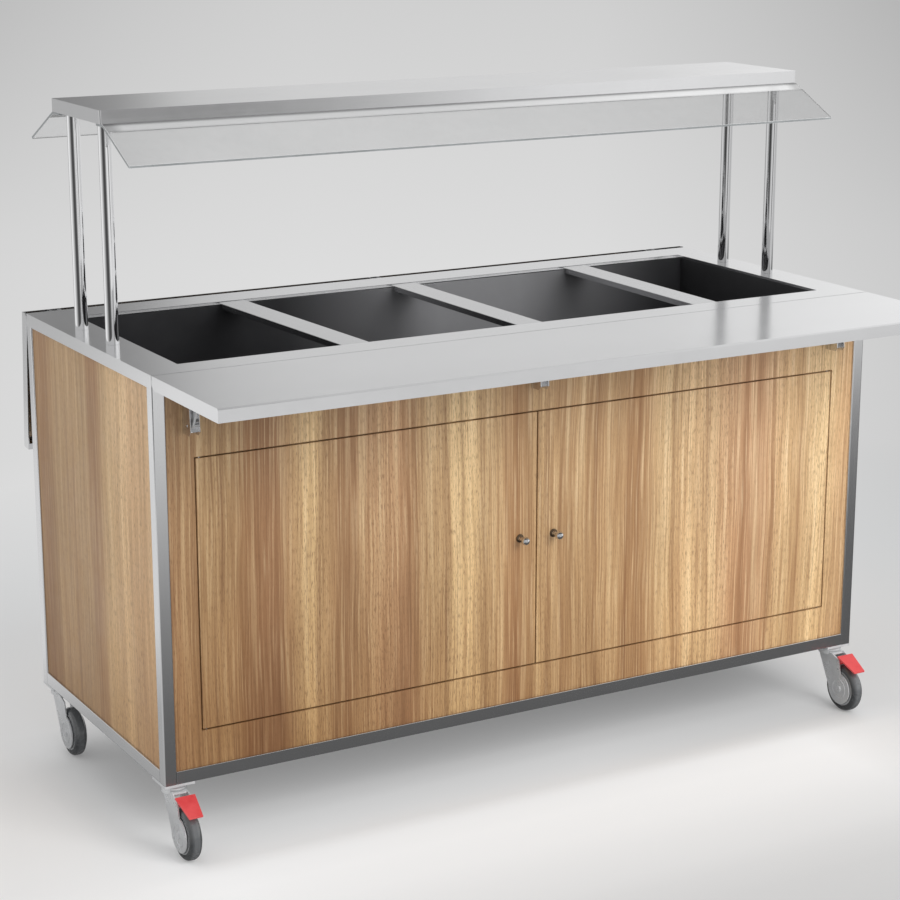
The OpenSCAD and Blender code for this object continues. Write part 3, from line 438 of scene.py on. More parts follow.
# Painted sheen: the lining is pale near the middle and almost black at both ends.
from_middle = maths(tree, "SUBTRACT", parts_of(tree, here(tree))["X"], sheen_middle)
from_middle = maths(tree, "ABSOLUTE", from_middle)
pale = maths(tree, "POWER", spread(tree, from_middle, 0.48, 0.10), 1.3)
film = place_group(tree, handling, Vector=here(tree), Size=3.0)
lining = blend_colour(tree, pale, shade(48, 48, 50), shade(150, 150, 152))
lining = blend_colour(tree, product(tree, film["Mask"], 0.12), lining, shade(90, 90, 92))
put(tree, lining, shader["Base Color"])
put(tree, spread(tree, film["Mask"], 0.0, 1.0, 0.4, 0.46), shader["Roughness"])
print("lining ready")

# %% [markdown]
# The panels and doors are veneered in one run of oak with upright grain: broad golden
# and pinkish bands, finer streaks inside them, and short dark pores. Each is noise
# stretched along Z by its own amount. Front panels vary with X and end panels with Y,
# so their sum is the coordinate across the grain. The pattern is one for the surround
# and both doors, which is how the real leaves are cut from one sheet. Over the grain
# lies painted light: painted shade darkens and deepens the wood low down, towards the
# left end and towards the rear, and a painted sheen pales it higher up, most at the
# upper right of the front.


# %% Oak veneer
def oak_veneer(name, shift, bands=7.0, left_shade=0.82, coat=0.12, keen=1.0, sheen_slant=0.35):
    material, tree, shader = new_material(name, Coat_Weight=coat, Coat_Roughness=0.25)

    def grain(per_metre, upwards, detail, rough=0.5):
        return noise(tree, stretched(tree, bent, (per_metre, 1.0, upwards)), 1.0, detail, rough)

    x, y, z = parts_of(tree, turned(tree, shift=shift))
    across = maths(tree, "ADD", x, y)
    bent = vector_of(tree, across, 0.0, z)
    waver = product(tree, grain(3.0, 1.6, 2.0), 0.035)
    bent = vector_of(tree, maths(tree, "ADD", across, waver), 0.0, z)
    band = grain(bands, 0.12, 1.5, 0.4)
    blush = grain(bands * 0.7, 0.3, 1.0, 0.4)
    streak = grain(58.0, 0.9, 3.0, 0.62)
    fine = grain(290.0, 4.5, 2.0, 0.6)
    mottle = grain(11.0, 1.6, 2.0, 0.55)
    pore = grain(620.0, 70.0, 2.0, 0.6)
    base = blend_colour(tree, spread(tree, band, 0.38, 0.62), shade(160, 120, 82),
                        shade(224, 192, 144))
    for mask, low, high, most, colour in (
            (blush, 0.48, 0.66, 0.7, (180, 138, 104)),
            (streak, 0.48, 0.70, 0.6 * keen, (130, 90, 58)),
            (streak, 0.46, 0.30, 0.5 * keen, (236, 210, 168)),
            (fine, 0.48, 0.68, 0.5 * keen, (136, 96, 62)),
            (fine, 0.46, 0.30, 0.4 * keen, (238, 214, 176))):
        base = blend_colour(tree, spread(tree, mask, low, high, 0.0, most), base, shade(*colour))
    plain_cut = spread(tree, band, 0.44, 0.56, 0.2, 0.6)
    pores = product(tree, spread(tree, pore, 0.52, 0.66), plain_cut)
    base = blend_colour(tree, pores, base, shade(112, 78, 48))
    # Painted shade: the wood is darker towards the left end.
    base = stretched(tree, base, spread(tree, across, -0.8, 0.45, left_shade, 1.08))
    base = stretched(tree, base, spread(tree, mottle, *NOISE_CORE, 0.90, 1.10))

    # Painted light and shade: darker and deeper low down, and a painted sheen pales the wood higher
    # up and, on the front, towards the right.
    x, y, z = parts_of(tree, here(tree))
    lit_height = maths(tree, "ADD", z, product(tree, x, sheen_slant))
    painted_light_tint = blend_colour(tree, spread(tree, lit_height, 0.0, 0.4), (0.70, 0.59, 0.46, 1),
                        (1.02, 0.98, 0.91, 1))
    painted_light_tint = blend_colour(tree, spread(tree, lit_height, 0.4, 0.8), painted_light_tint, (1.16, 1.18, 1.20, 1))
    base = stretched(tree, base, painted_light_tint)
    # Painted shade: darker towards the rear.
    base = stretched(tree, base, spread(tree, y, 0.18, 0.02, 0.82, 1.03))
    cut = place_group(tree, worn_edges, Vector=here(tree), Radius=0.0024)
    base = blend_colour(tree, product(tree, cut["Mask"], 0.9), base, shade(118, 80, 46))
    put(tree, base, shader["Base Color"])
    marks = place_group(tree, handling, Vector=here(tree), Size=4.0)
    put(tree, spread(tree, marks["Mask"], 0.0, 1.0, 0.42, 0.55), shader["Roughness"])
    put(tree, bump(tree, maths(tree, "SUBTRACT", fine, pores), 0.18, 0.0003), shader["Normal"])
    return material


oak_front = oak_veneer("oak_front", (0.0, 0.0, 0.0))
oak_end = oak_veneer("oak_end", (3.1, 0.4, 0.2), bands=5.0, left_shade=0.92, coat=0.04,
                     keen=0.6, sheen_slant=0.0)
print("oak ready")

# %% [markdown]
# The guards are clear sheet, with painted shade that makes them a little darker to the
# right. Glass needs full transmission and a little colour, and a faint film of dust
# sits in its roughness. A band under the fold, half clear and half white, is a painted
# highlight of the bend, brighter to the right and dimmer near the ends, and the right
# end is ground, so it scatters what it lets by.

# %% Clear sheet, band of painted highlight and ground edge
SHEET_IOR = 1.46
highlight_reach = 0.012  # how far the band reaches down from the canopy
can_lo, can_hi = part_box("canopy")
guard_lo, guard_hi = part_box("guard_front")


def glass(name, clear, **fixed):
    return new_material(name, IOR=SHEET_IOR, Transmission_Weight=clear, **fixed)


clear_sheet, tree, shader = glass("clear_sheet", 1.0)
film = place_group(tree, handling, Vector=here(tree), Size=5.0)
dusty = blend_colour(tree, film["Mask"], (0.83, 0.834, 0.836, 1), (0.87, 0.873, 0.875, 1))
# Painted shade: the clear sheet is darker to the right.
to_the_right = spread(tree, parts_of(tree, here(tree))["X"], 0.1, 0.7, 1.0, 0.89)
put(tree, stretched(tree, dusty, to_the_right), shader["Base Color"])
put(tree, spread(tree, film["Mask"], 0.0, 1.0, 0.0, 0.03), shader["Roughness"])

# A painted highlight: the band under the bend is paler, brighter to the right and dimmer near the
# ends.
hazy_sheet, tree, shader = glass("hazy_sheet", 0.3, Roughness=0.2)
place = parts_of(tree, here(tree))
highlight_mottle = product(tree, noise(tree, here(tree), 9.0, 2.0), 0.05)
highlight_rightwards = maths(tree, "ADD", spread(tree, place["X"], -0.1, 0.5), highlight_mottle)
highlight_colour = blend_colour(tree, highlight_rightwards, (0.64, 0.643, 0.646, 1), (0.91, 0.912, 0.915, 1))
below = spread(tree, place["Z"], can_lo.z, can_lo.z - highlight_reach)
band_tone = grey_ramp(tree, below, [(0.0, 0.4), (0.35, 1.0), (0.75, 1.0), (0.95, 0.74)])
from_end = maths(tree, "SUBTRACT", guard_hi.x, maths(tree, "ABSOLUTE", place["X"]))
end_tone = spread(tree, from_end, 0.014, 0.034, 0.60, 1.0)
put(tree, stretched(tree, stretched(tree, highlight_colour, band_tone), end_tone), shader["Base Color"])

ground_edge, tree, shader = glass("ground_edge", 1.0)
film = place_group(tree, handling, Vector=here(tree), Size=20.0)
pale = blend_colour(tree, film["Mask"], (0.84, 0.843, 0.845, 1), (0.90, 0.903, 0.905, 1))
put(tree, pale, shader["Base Color"])
put(tree, spread(tree, film["Mask"], 0.0, 1.0, 0.5, 0.6), shader["Roughness"])
print("sheets ready")

# %% [markdown]
# ## Turning solids into made things
# Every piece ends the same way, whether it is a softened solid, a turned part or a sheet
# made by rule. Its normals are weighted by area, which keeps large flat faces flat, and
# it is handed to the body that carries it.


# %% Meshes into finished pieces
def evaluated_mesh(piece):
    bpy.context.view_layer.update()
    graph = bpy.context.evaluated_depsgraph_get()
    return bpy.data.meshes.new_from_object(piece.evaluated_get(graph))


def settle(mesh, name, body, material=None, replaced=(), smooth=40):
    """Smooths a mesh below an angle, evens its normals, and lets it ride on a body."""
    if material:
        mesh.materials.clear()
        mesh.materials.append(material)
        mesh.polygons.foreach_set("material_index", [0] * len(mesh.polygons))
    mesh.polygons.foreach_set("use_smooth", [True] * len(mesh.polygons))
    mesh.set_sharp_from_angle(angle=math.radians(smooth))
    piece = bpy.data.objects.new(name, mesh)
    bpy.context.scene.collection.objects.link(piece)
    even = piece.modifiers.new("even normals", "WEIGHTED_NORMAL")
    even.keep_sharp = True
    ready = evaluated_mesh(piece)
    piece.modifiers.clear()
    piece.data = ready
    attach(piece, body)
    if replaced:
        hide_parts(*replaced)
    return piece


# %% [markdown]
# The CAD solids have knife edges. Real sheet, tube and board catch a line of light on
# every edge. A bevel node could fake that line, but not in a reflection or an outline,
# so a copy of each solid has its loose triangles joined, its flat faces made whole and
# its sharp edges bevelled. The solid itself stays untouched underneath.

# %% Solids into finished pieces
SAME_POINT = 2e-6
FLAT = math.radians(0.4)


def bevel_edges(form, sharper_than, edge, steps=2, clamp=True):
    """Rounds every edge that turns by more than an angle."""
    keen = [e for e in form.edges
            if len(e.link_faces) == 2 and e.calc_face_angle(0.0) > sharper_than]
    bmesh.ops.bevel(form, geom=keen, offset=edge, segments=steps, profile=0.5, affect="EDGES",
                    clamp_overlap=clamp)


def softened(node, material, edge=0.0006, steps=2, sharp=32, smooth=40):
    """A copy of a solid with bevelled edges, which takes the solid's place."""
    form = bmesh.new()
    form.from_mesh(nodes[node].data)
    bmesh.ops.remove_doubles(form, verts=form.verts, dist=SAME_POINT)
    bmesh.ops.dissolve_limit(form, angle_limit=FLAT, verts=form.verts, edges=form.edges)
    if edge:
        bevel_edges(form, math.radians(sharp), edge, steps)
    mesh = bpy.data.meshes.new(node + "_shape")
    form.to_mesh(mesh)
    form.free()
    print(node, len(mesh.polygons), "faces")
    return settle(mesh, node + "_made", body_of_node[node], material, (node,), smooth)


# %% [markdown]
# ## The frame
# Square tube, welded at the corners. Posts are brushed upright and rails along their
# own length. Mitred ends are dressed flat, so only a fine bevel is left.

# %% Posts, rails and floor sheet
for node, way in (("corner_posts", "z"), ("bottom_rails_long", "x"), ("bottom_rails_short", "y"),
                  ("top_rails", "x"), ("floor_panel", "x")):
    softened(node, steel[way], edge=0.0004)

# %% [markdown]
# ## Panels and doors
# The boards have a small eased edge, which shows as a thin line of light beside the
# dark gap round each door.

# %% Wood panels, surround and doors
for node in ("panel_left", "panel_right"):
    softened(node, oak_end)
for node in ("panel_rear", "door_surround", "door_left", "door_right"):
    softened(node, oak_front, edge=0.0011)
softened("door_pivots", steel["z"], edge=0.0002)
softened("magnet_catch", black_plastic, edge=0.0008)

# %% [markdown]
# ## Worktop, well and loose bars
# Folded sheet has a soft outer radius. The well is a dark-lined tank, and the three
# bars lie loose on its ledges. The coil and drain are under it.

# %% Worktop, tank and bars
softened("worktop", steel["x"], edge=0.0009, steps=3)
softened("well_tank", tank_dark, edge=0.0008, steps=3)
softened("insulation_jacket", foam_black, edge=0.001)
for number in (1, 2, 3):
    softened(f"divider_bar_{number}", bar_steel, edge=0.0007, steps=3)
softened("evaporator", copper, edge=0)
softened("drain_valve", chrome, edge=0.0005)
softened("valve_lever", lever_red)

# %% [markdown]
# ## Canopy
# A closed box of folded sheet on four polished tubes. Its bevel has three steps, because
# one long line of light runs along it through the whole picture.

# %% Canopy box and posts
softened("canopy", steel["x"], steps=3)
softened("canopy_posts", post_steel, edge=0.0004)

# %% [markdown]
# ## Folding trays
# Each tray is a shallow pan, open below, with pairs of arms that run on stays inside
# channel brackets. Thin sheet gets a fine bevel.

# %% Trays, brackets and stays
for end in ("front", "rear"):
    softened(f"{end}_tray", steel["x"], edge=0.0005)
    softened(f"{end}_brackets", steel["z"], edge=0.0003)
    softened(f"{end}_stays", zinc, edge=0.0003)


# %% [markdown]
# ## Guards: a bent sheet by rule
# A guard is one clear sheet: a flat flange under the canopy, a bend, and a sloping
# pane. Its whole shape follows six numbers, so a node tree makes it: a grid is laid
# along the section, thickened downwards, and turned round for the rear.


# %% Helpers for geometry trees
def new_shape_tree(name, inputs):
    tree = bpy.data.node_groups.new(name, "GeometryNodeTree")
    return (tree, *add_sockets(tree, inputs, [("Geometry", "NodeSocketGeometry")]))


def step(tree, kind, **values):
    node = tree.nodes.new(kind)
    for name, value in values.items():
        put(tree, value, node.inputs[name.replace("_", " ")])
    return node


def joined(tree, *geometries):
    node = tree.nodes.new("GeometryNodeJoinGeometry")
    for geometry in geometries:
        put(tree, geometry, node.inputs[0])
    return node.outputs[0]


def dressed(tree, geometry, material):
    """Every tree ends in real meshes with their material set."""
    real = step(tree, "GeometryNodeRealizeInstances", Geometry=geometry).outputs[0]
    return step(tree, "GeometryNodeSetMaterial", Geometry=real, Material=material).outputs[0]


def run_tree(tree, name, **values):
    """Runs a tree on an empty mesh and gives back the plain mesh it makes."""
    carrier = bpy.data.objects.new(name + "_maker", bpy.data.meshes.new(name + "_seed"))
    bpy.context.scene.collection.objects.link(carrier)
    maker = carrier.modifiers.new("maker", "NODES")
    maker.node_group = tree
    for item in tree.interface.items_tree:
        key = item.name.replace(" ", "_")
        if item.in_out == "INPUT" and key in values:
            maker[item.identifier] = values[key]
    mesh = evaluated_mesh(carrier)
    carrier.modifiers.clear()
    bpy.data.objects.remove(carrier)
    return mesh


# %% [markdown]
# The grid has one row of points for each step along the section. The first tenth of the
# rows is the flange, the last tenth is the pane, and the rest is the bend. A power draws
# the pane's rows together near the bend, so that one of them ends the band of painted
# highlight.

# %% The bent sheet tree
BEND_STARTS, BEND_ENDS = 0.1, 0.9
ROW_CROWDING = 1.27
sheet_tree, given, result = new_shape_tree("bent sheet", [
    ("Length", "NodeSocketFloat", 1.5), ("Flange", "NodeSocketFloat", 0.03),
    ("Radius", "NodeSocketFloat", 0.011), ("Turn", "NodeSocketFloat", 0.46),
    ("Run", "NodeSocketFloat", 0.13), ("Thickness", "NodeSocketFloat", 0.005),
    ("Place", "NodeSocketVector", (0, 0, 0)), ("Facing", "NodeSocketFloat", 0.0),
    ("Material", "NodeSocketMaterial", None), ("Edge Material", "NodeSocketMaterial", None)])
t = sheet_tree
grid = step(t, "GeometryNodeMeshGrid", Size_X=given["Length"], Size_Y=1.0, Vertices_X=9,
            Vertices_Y=41)
where = parts_of(t, t.nodes.new("GeometryNodeInputPosition").outputs[0])
along = maths(t, "ADD", where["Y"], 0.5)
in_flange = product(t, spread(t, along, 0.0, BEND_STARTS), given["Flange"])
angle = product(t, spread(t, along, BEND_STARTS, BEND_ENDS), given["Turn"])
in_run = maths(t, "POWER", spread(t, along, BEND_ENDS, 1.0), ROW_CROWDING)
in_run = product(t, in_run, given["Run"])
out = maths(t, "SUBTRACT", in_flange, given["Flange"])
out = maths(t, "ADD", out, product(t, given["Radius"], maths(t, "SINE", angle)))
out = maths(t, "ADD", out, product(t, in_run, maths(t, "COSINE", given["Turn"])))
down = product(t, given["Radius"], maths(t, "SUBTRACT", 1.0, maths(t, "COSINE", angle)))
down = maths(t, "ADD", down, product(t, in_run, maths(t, "SINE", given["Turn"])))
target = vector_of(t, where["X"], product(t, out, -1.0), product(t, down, -1.0))
bent = step(t, "GeometryNodeSetPosition", Geometry=grid.outputs["Mesh"], Position=target)
upper = step(t, "GeometryNodeFlipFaces", Mesh=bent.outputs[0])
walls = step(t, "GeometryNodeExtrudeMesh", Mesh=bent.outputs[0], Offset_Scale=given["Thickness"])
walls.inputs["Individual"].default_value = False
closed = step(t, "GeometryNodeMergeByDistance", Distance=0.00001,
              Geometry=joined(t, walls.outputs["Mesh"], upper.outputs[0]))
placed = step(t, "GeometryNodeTransform", Geometry=closed.outputs[0],
              Translation=given["Place"], Rotation=vector_of(t, 0.0, 0.0, given["Facing"]))
edged = step(t, "GeometryNodeSetMaterial", Selection=walls.outputs["Side"],
             Geometry=dressed(t, placed.outputs[0], given["Material"]),
             Material=given["Edge Material"])
put(t, edged.outputs[0], result["Geometry"])
print("tree", t.name, len(t.nodes), "nodes")

# %% [markdown]
# Both guards hang from the canopy's long edges. The slope and the length of the pane
# follow from how far its lower edge lies below and in front of the canopy. The tree can
# tell a pane from its cut edges, but not the right end or the reach of the band of painted
# highlight, so those faces are found by where they lie and which way they face. The bevel
# isn't clamped here, so that the close rows of the bend can't shrink it.

# %% Both guards
guard_thick, outer_radius, inner_radius = 0.005, 0.011, 0.006
flange, proud, room_for_bevel = 0.030, 0.002, 0.0006
fall, reach = 0.065, 0.120
drop = fall - guard_thick
turn = math.atan2(drop - room_for_bevel, reach)
run = (drop - inner_radius * (1 - math.cos(turn))) / math.sin(turn)
for end, bend_y, facing in (("front", can_lo.y - proud, 0.0), ("rear", can_hi.y + proud, math.pi)):
    mesh = run_tree(sheet_tree, "guard_" + end, Length=guard_hi.x - guard_lo.x, Flange=flange,
                    Radius=outer_radius, Turn=turn, Run=run, Thickness=guard_thick,
                    Place=(0.0, bend_y, can_lo.z), Facing=facing,
                    Material=clear_sheet, Edge_Material=sawn_edge)
    mesh.materials.append(hazy_sheet)
    mesh.materials.append(ground_edge)
    slot = {material.name: i for i, material in enumerate(mesh.materials) if material}
    form = bmesh.new()
    form.from_mesh(mesh)
    print("guard", end, "volume", round(form.calc_volume(signed=True) * 1e6, 1), "cm3")
    for face in form.faces:
        on_top = face.material_index == slot["clear_sheet"] and face.normal.z > 0.0
        if face.normal.x > 0.5:
            face.material_index = slot["ground_edge"]
        # These faces carry the band of painted highlight.
        elif on_top and face.calc_center_median().z > can_lo.z - highlight_reach:
            face.material_index = slot["hazy_sheet"]
    bevel_edges(form, sharper_than=0.9, edge=0.0003, clamp=False)
    form.to_mesh(mesh)
    form.free()
    settle(mesh, f"guard_{end}_sheet", "trolley", None, (f"guard_{end}",))


# %% [markdown]
# ## Turned pieces
# Knobs, hubs, tyres and screws are all round. A section is drawn as a short list of
# points, radius first, and spun about an axis. Sections run so that faces point out,
# and the normals are made consistent once doubles are merged.


# %% A lathe
def turned_form(section, steps=48):
    """Spins a section of (radius, height) points about Z and gives back the form."""
    form = bmesh.new()
    points = [form.verts.new((r, 0.0, z)) for r, z in section]
    edges = [form.edges.new(pair) for pair in zip(points, points[1:])]
    bmesh.ops.spin(form, geom=points + edges, cent=(0, 0, 0), axis=(0, 0, 1),
                   angle=math.tau, steps=steps, use_duplicate=False)
    bmesh.ops.remove_doubles(form, verts=form.verts, dist=1e-6)
    bmesh.ops.recalc_face_normals(form, faces=form.faces)
    return form


def to_mesh(form, name, matrix=None):
    if matrix is not None:
        form.transform(matrix)
    mesh = bpy.data.meshes.new(name)
    form.to_mesh(mesh)
    form.free()
    return mesh


def arc(cx, cz, radius, start, stop, steps):
    """Points on part of a circle, angles in degrees from the +radius direction."""
    angles = [math.radians(start + (stop - start) * i / steps) for i in range(steps + 1)]
    return [(cx + radius * math.cos(a), cz + radius * math.sin(a)) for a in angles]


# %% [markdown]
# A knob is a polished ball on a waisted stem, with a small foot plate behind it, dark
# brown as painted shade and painted reflection of the wood. One section makes all
# three, and the foot's faces get their own metal by height.

# %% Door knobs
ball, stem, foot_height = 0.0085, 0.0042, 0.003
foot = [(0.0, 0.0), (0.0083, 0.0), (0.0085, 0.0004), (0.0083, 0.0016), (0.0060, 0.0022)]
neck = math.degrees(math.asin(stem / ball))
for side in ("left", "right"):
    low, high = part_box("knob_" + side)
    door_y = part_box("door_" + side)[0].y
    centre = door_y - low.y - ball
    stem_end = centre - ball * math.cos(math.radians(neck)) - 0.0008
    section = foot + [(0.0046, 0.0034), (stem, 0.006), (0.0043, stem_end)]
    section += arc(0.0, centre, ball, neck - 90.0, 90.0, 14)
    form = turned_form(section)
    for face in form.faces:
        face.material_index = int(face.calc_center_median().z < foot_height)
    place = Matrix.Translation(((low.x + high.x) / 2, door_y, (low.z + high.z) / 2))
    mesh = to_mesh(form, "knob_shape", place @ Matrix.Rotation(math.pi / 2, 4, "X"))
    mesh.materials.append(chrome)
    # The foot plate's dark brown is painted shade and painted reflection.
    mesh.materials.append(shaded_brown_foot)
    settle(mesh, f"knob_{side}_turned", side + "_door", None, ("knob_" + side,), 60)
    print("knob", side, "stands out", round(door_y - low.y, 4))

# %% [markdown]
# ## Castors
# Each castor has a pressed fork, a solid grey wheel with stepped rings, and a rounded
# tyre with a faint mould line. The two at the front also have red foot pedals.

# %% Hubs and tyres
rim, shoulder, bore = 0.038, 0.009, 0.0041
rings = [(0.0055, 0.0), (0.010, 0.0), (0.0112, 0.0035), (0.024, 0.004), (0.025, 0.0015),
         (0.0275, 0.0015), (0.0285, 0.003), (0.0335, 0.003), (0.0350, 0.0), (rim - 0.0002, 0.0)]
for spot in ("front_left", "front_right", "rear_left", "rear_right"):
    low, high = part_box("tyre_" + spot)
    turn_in = Matrix.Translation((low + high) / 2) @ Matrix.Rotation(math.pi / 2, 4, "Y")
    wide, radius = (high.x - low.x) / 2, (high.z - low.z) / 2
    mould_line = [(radius, -0.0012), (radius - 0.0003, 0.0), (radius, 0.0012)]
    section = [(rim, -wide)] + arc(radius - shoulder, shoulder - wide, shoulder, -90, -8, 8)
    section += mould_line + arc(radius - shoulder, wide - shoulder, shoulder, 8, 90, 8)
    section += [(rim, wide), (rim, -wide)]
    settle(to_mesh(turned_form(section, 64), "tyre_shape", turn_in), f"tyre_{spot}_moulded",
           "wheel_" + spot, tyre_rubber, ("tyre_" + spot,), 50)
    flat = wide - 0.001
    half = [(bore, flat - 0.001)] + [(r, flat - sunk) for r, sunk in rings]
    section = [(r, -z) for r, z in half] + half[::-1] + [(bore, 0.001 - flat)]
    settle(to_mesh(turned_form(section, 64), "hub_shape", turn_in), f"hub_{spot}_moulded",
           "wheel_" + spot, hub_plastic, ("hub_" + spot,), 35)
    softened("fork_" + spot, zinc, edge=0, smooth=30)
softened("castor_plates", plate_zinc, edge=0.0004, sharp=40, smooth=30)
for side in ("left", "right"):
    softened("pedal_" + side, pedal_red, edge=0.001, steps=3)

# %% [markdown]
# ## Screws by rule
# The guards hang on ten pan-head screws, five to each side at even spacing. One screw
# is turned, and a tree sets it on two rows of points.

# %% Guard screws
head_radius, head_high, per_row = 0.0040, 0.0024, 5
screw_form = turned_form([
    (0.0, -head_high), (0.0012, -head_high), (0.0012, -0.0014), (0.0016, -0.0014),
    (0.0016, -head_high), (0.0030, -0.0023), (0.0038, -0.0016), (head_radius, 0.0),
    (0.0, 0.0)], 20)
screw = bpy.data.objects.new("one_screw", to_mesh(screw_form, "one_screw"))
row_tree, given, result = new_shape_tree("row of screws", [
    ("Screw", "NodeSocketObject", None), ("Count", "NodeSocketInt", per_row),
    ("Step", "NodeSocketFloat", 0.36), ("Start", "NodeSocketVector", (0, 0, 0)),
    ("Rows", "NodeSocketFloat", 0.2), ("Material", "NodeSocketMaterial", None)])
t = row_tree
line = step(t, "GeometryNodeMeshLine", Count=given["Count"], Start_Location=given["Start"],
            Offset=vector_of(t, given["Step"])).outputs[0]
second = step(t, "GeometryNodeTransform", Geometry=line,
              Translation=vector_of(t, 0.0, given["Rows"])).outputs[0]
shape = step(t, "GeometryNodeObjectInfo", Object=given["Screw"])
copies = step(t, "GeometryNodeInstanceOnPoints", Points=joined(t, line, second),
              Instance=shape.outputs["Geometry"])
put(t, dressed(t, copies.outputs[0], given["Material"]), result["Geometry"])
low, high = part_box("guard_screws")
mesh = run_tree(t, "guard_screws", Screw=screw, Count=per_row, Material=chrome,
                Step=(high.x - low.x - 2 * head_radius) / (per_row - 1),
                Start=(low.x + head_radius, low.y + head_radius, low.z + head_high),
                Rows=high.y - low.y - 2 * head_radius)
settle(mesh, "guard_screws_set", "trolley", chrome, ("guard_screws",), 40)
print("screw faces", len(mesh.polygons))

# %% [markdown]
# ## Cooling unit and fittings
# These sit behind the doors and on the right end, and get the same care in finish.

# %% Unit, grille, control and gland
for node, material in (("unit_base", black_paint), ("compressor", black_paint),
                       ("condenser", aluminium), ("fan_motor", black_paint), ("fan", aluminium),
                       ("refrigerant_pipes", copper), ("vent_grille", black_paint),
                       ("control_panel", black_plastic), ("rocker", lever_red),
                       ("cable_gland", black_plastic)):
    softened(node, material, edge=0.0005)

# %% [markdown]
# ## Room
# The picture is taken in a pale studio. The floor fills the whole background, because
# the camera looks down on it as far as the top of the frame. Its tone is painted on by
# place: how steeply a point lies below the eye and how far it lies to the side.

# %% Places on the floor
eye = Vector((-2.2737, -3.8478, 1.7946))
turn_of_view = math.radians(29.67)
form = bmesh.new()
bmesh.ops.create_grid(form, x_segments=8, y_segments=8, size=90.0)
floor = bpy.data.objects.new("floor", to_mesh(form, "floor"))
bpy.context.scene.collection.objects.link(floor)
floor_paint, tree, shader = new_material("floor_paint", Roughness=0.9, Specular_IOR_Level=0.0)
floor_x, floor_y = parts_of(tree, here(tree))[:2]
dx = maths(tree, "SUBTRACT", floor_x, eye.x)
dy = maths(tree, "SUBTRACT", floor_y, eye.y)
far = length_of(tree, vector_of(tree, dx, dy))
slope = maths(tree, "ARCTANGENT", maths(tree, "DIVIDE", eye.z, far))
height = spread(tree, slope, math.radians(3.5), math.radians(25.8))
rightwards = weighed(tree, dx, math.cos(turn_of_view), dy, -math.sin(turn_of_view))
aside = maths(tree, "DIVIDE", rightwards, far)
left_right = spread(tree, aside, -0.2, 0.2, -1.0, 1.0)
print("eye", round(eye.length, 2), "metres from the middle of the trolley's foot")

# %% [markdown]
# Seen from there, the floor is darkest at the top of the picture and falls off to both
# sides, more to the right. Under the eye and towards the horizon it has one plain tone.

# %% Tone of the floor
HORIZON, UNDERFOOT = 0.56, 0.70
backdrop = grey_ramp(tree, height,
                     [(0.0, 0.63), (0.3, 0.72), (0.5, 0.74), (0.8, 0.90), (1.0, 0.94)])
edge_share = grey_ramp(tree, height, [(0.0, 0.80), (0.25, 0.93), (0.6, 0.93), (1.0, 0.90)])
fade = spread(tree, product(tree, left_right, left_right), 0.1, 1.0, 1.0, edge_share)
right_fade = grey_ramp(tree, spread(tree, aside, -1.0, 1.0),
                       [(0.0, 1.0), (0.53, 1.0), (0.6, 0.90), (0.75, 0.88), (1.0, 1.0)])
right_corner = product(tree, spread(tree, height, 0.75, 1.0), spread(tree, left_right, 0.4, 1.0))
corner_fade = spread(tree, right_corner, 0.0, 1.0, 1.0, 0.72)
backdrop = stretched(tree, backdrop, product(tree, right_fade, corner_fade, fade))
backdrop = blend_colour(tree, spread(tree, far, 3.6, 1.8), backdrop, grey(UNDERFOOT))
to_horizon = spread(tree, slope, math.radians(3.3), math.radians(1.5))
backdrop = blend_colour(tree, to_horizon, backdrop, grey(HORIZON))
print("tone of the floor,", len(tree.nodes), "nodes so far")

# %% [markdown]
# A painted pool of light lies in front of the doors and dims away from them, and
# painted shadow darkens the floor under the trolley.

# %% Lit strip and shadow
# Painted light: a bright strip on the floor in front of the doors.
lit_strip = grey_ramp(tree, spread(tree, floor_y, -0.3, -1.0), [
    (0.0, 0.91), (0.06, 0.925), (0.14, 0.93), (0.29, 0.884), (0.43, 0.814), (0.57, 0.755),
    (0.66, 0.70), (0.8, 0.64), (1.0, 0.60)])
in_front = product(tree, spread(tree, floor_x, -1.05, -0.75), spread(tree, floor_x, 0.95, 0.6),
                   spread(tree, floor_y, -0.24, -0.32), spread(tree, floor_y, -1.5, -1.0))
backdrop = blend_colour(tree, in_front, backdrop, lit_strip)
# Painted shadow: the floor under the trolley is darker.
painted_shadow_under = product(tree, spread(tree, floor_y, -0.15, 0.08), spread(tree, floor_y, 0.5, 0.3),
                spread(tree, maths(tree, "ABSOLUTE", floor_x), 0.9, 0.75))
backdrop = stretched(tree, backdrop, spread(tree, painted_shadow_under, 0.0, 1.0, 1.0, 0.82))
print("lit strip and shadow,", len(tree.nodes), "nodes so far")

# %% [markdown]
# Rays that steel reflects find another floor. Steel that faces the camera mirrors the
# floor in front of the trolley, from the trolley's own dark foot out to the bright room.
# Further out they find the room's walls, which differ all round it.

# %% What steel finds in the floor
front_floor = grey_ramp(tree, spread(tree, floor_y, -0.3, -4.3), [
    (0.0, 0.11), (0.06, 0.12), (0.16, 0.15), (0.32, 0.29), (0.52, 0.54), (0.88, 0.84), (1.0, 0.80)])
beside = product(tree, spread(tree, floor_x, 0.8, 1.5), spread(tree, floor_y, -3.2, -2.4), 0.6)
front_floor = blend_colour(tree, beside, front_floor, grey(0.1))
left_floor = grey_ramp(tree, spread(tree, floor_x, -0.8, -2.3),
                       [(0.0, 0.42), (0.3, 0.46), (1.0, 0.84)])
near_floor = blend_colour(tree, spread(tree, floor_x, -0.84, -0.92), front_floor, left_floor)
near_floor = blend_colour(tree, spread(tree, floor_y, 0.5, 1.0), near_floor, grey(0.78))

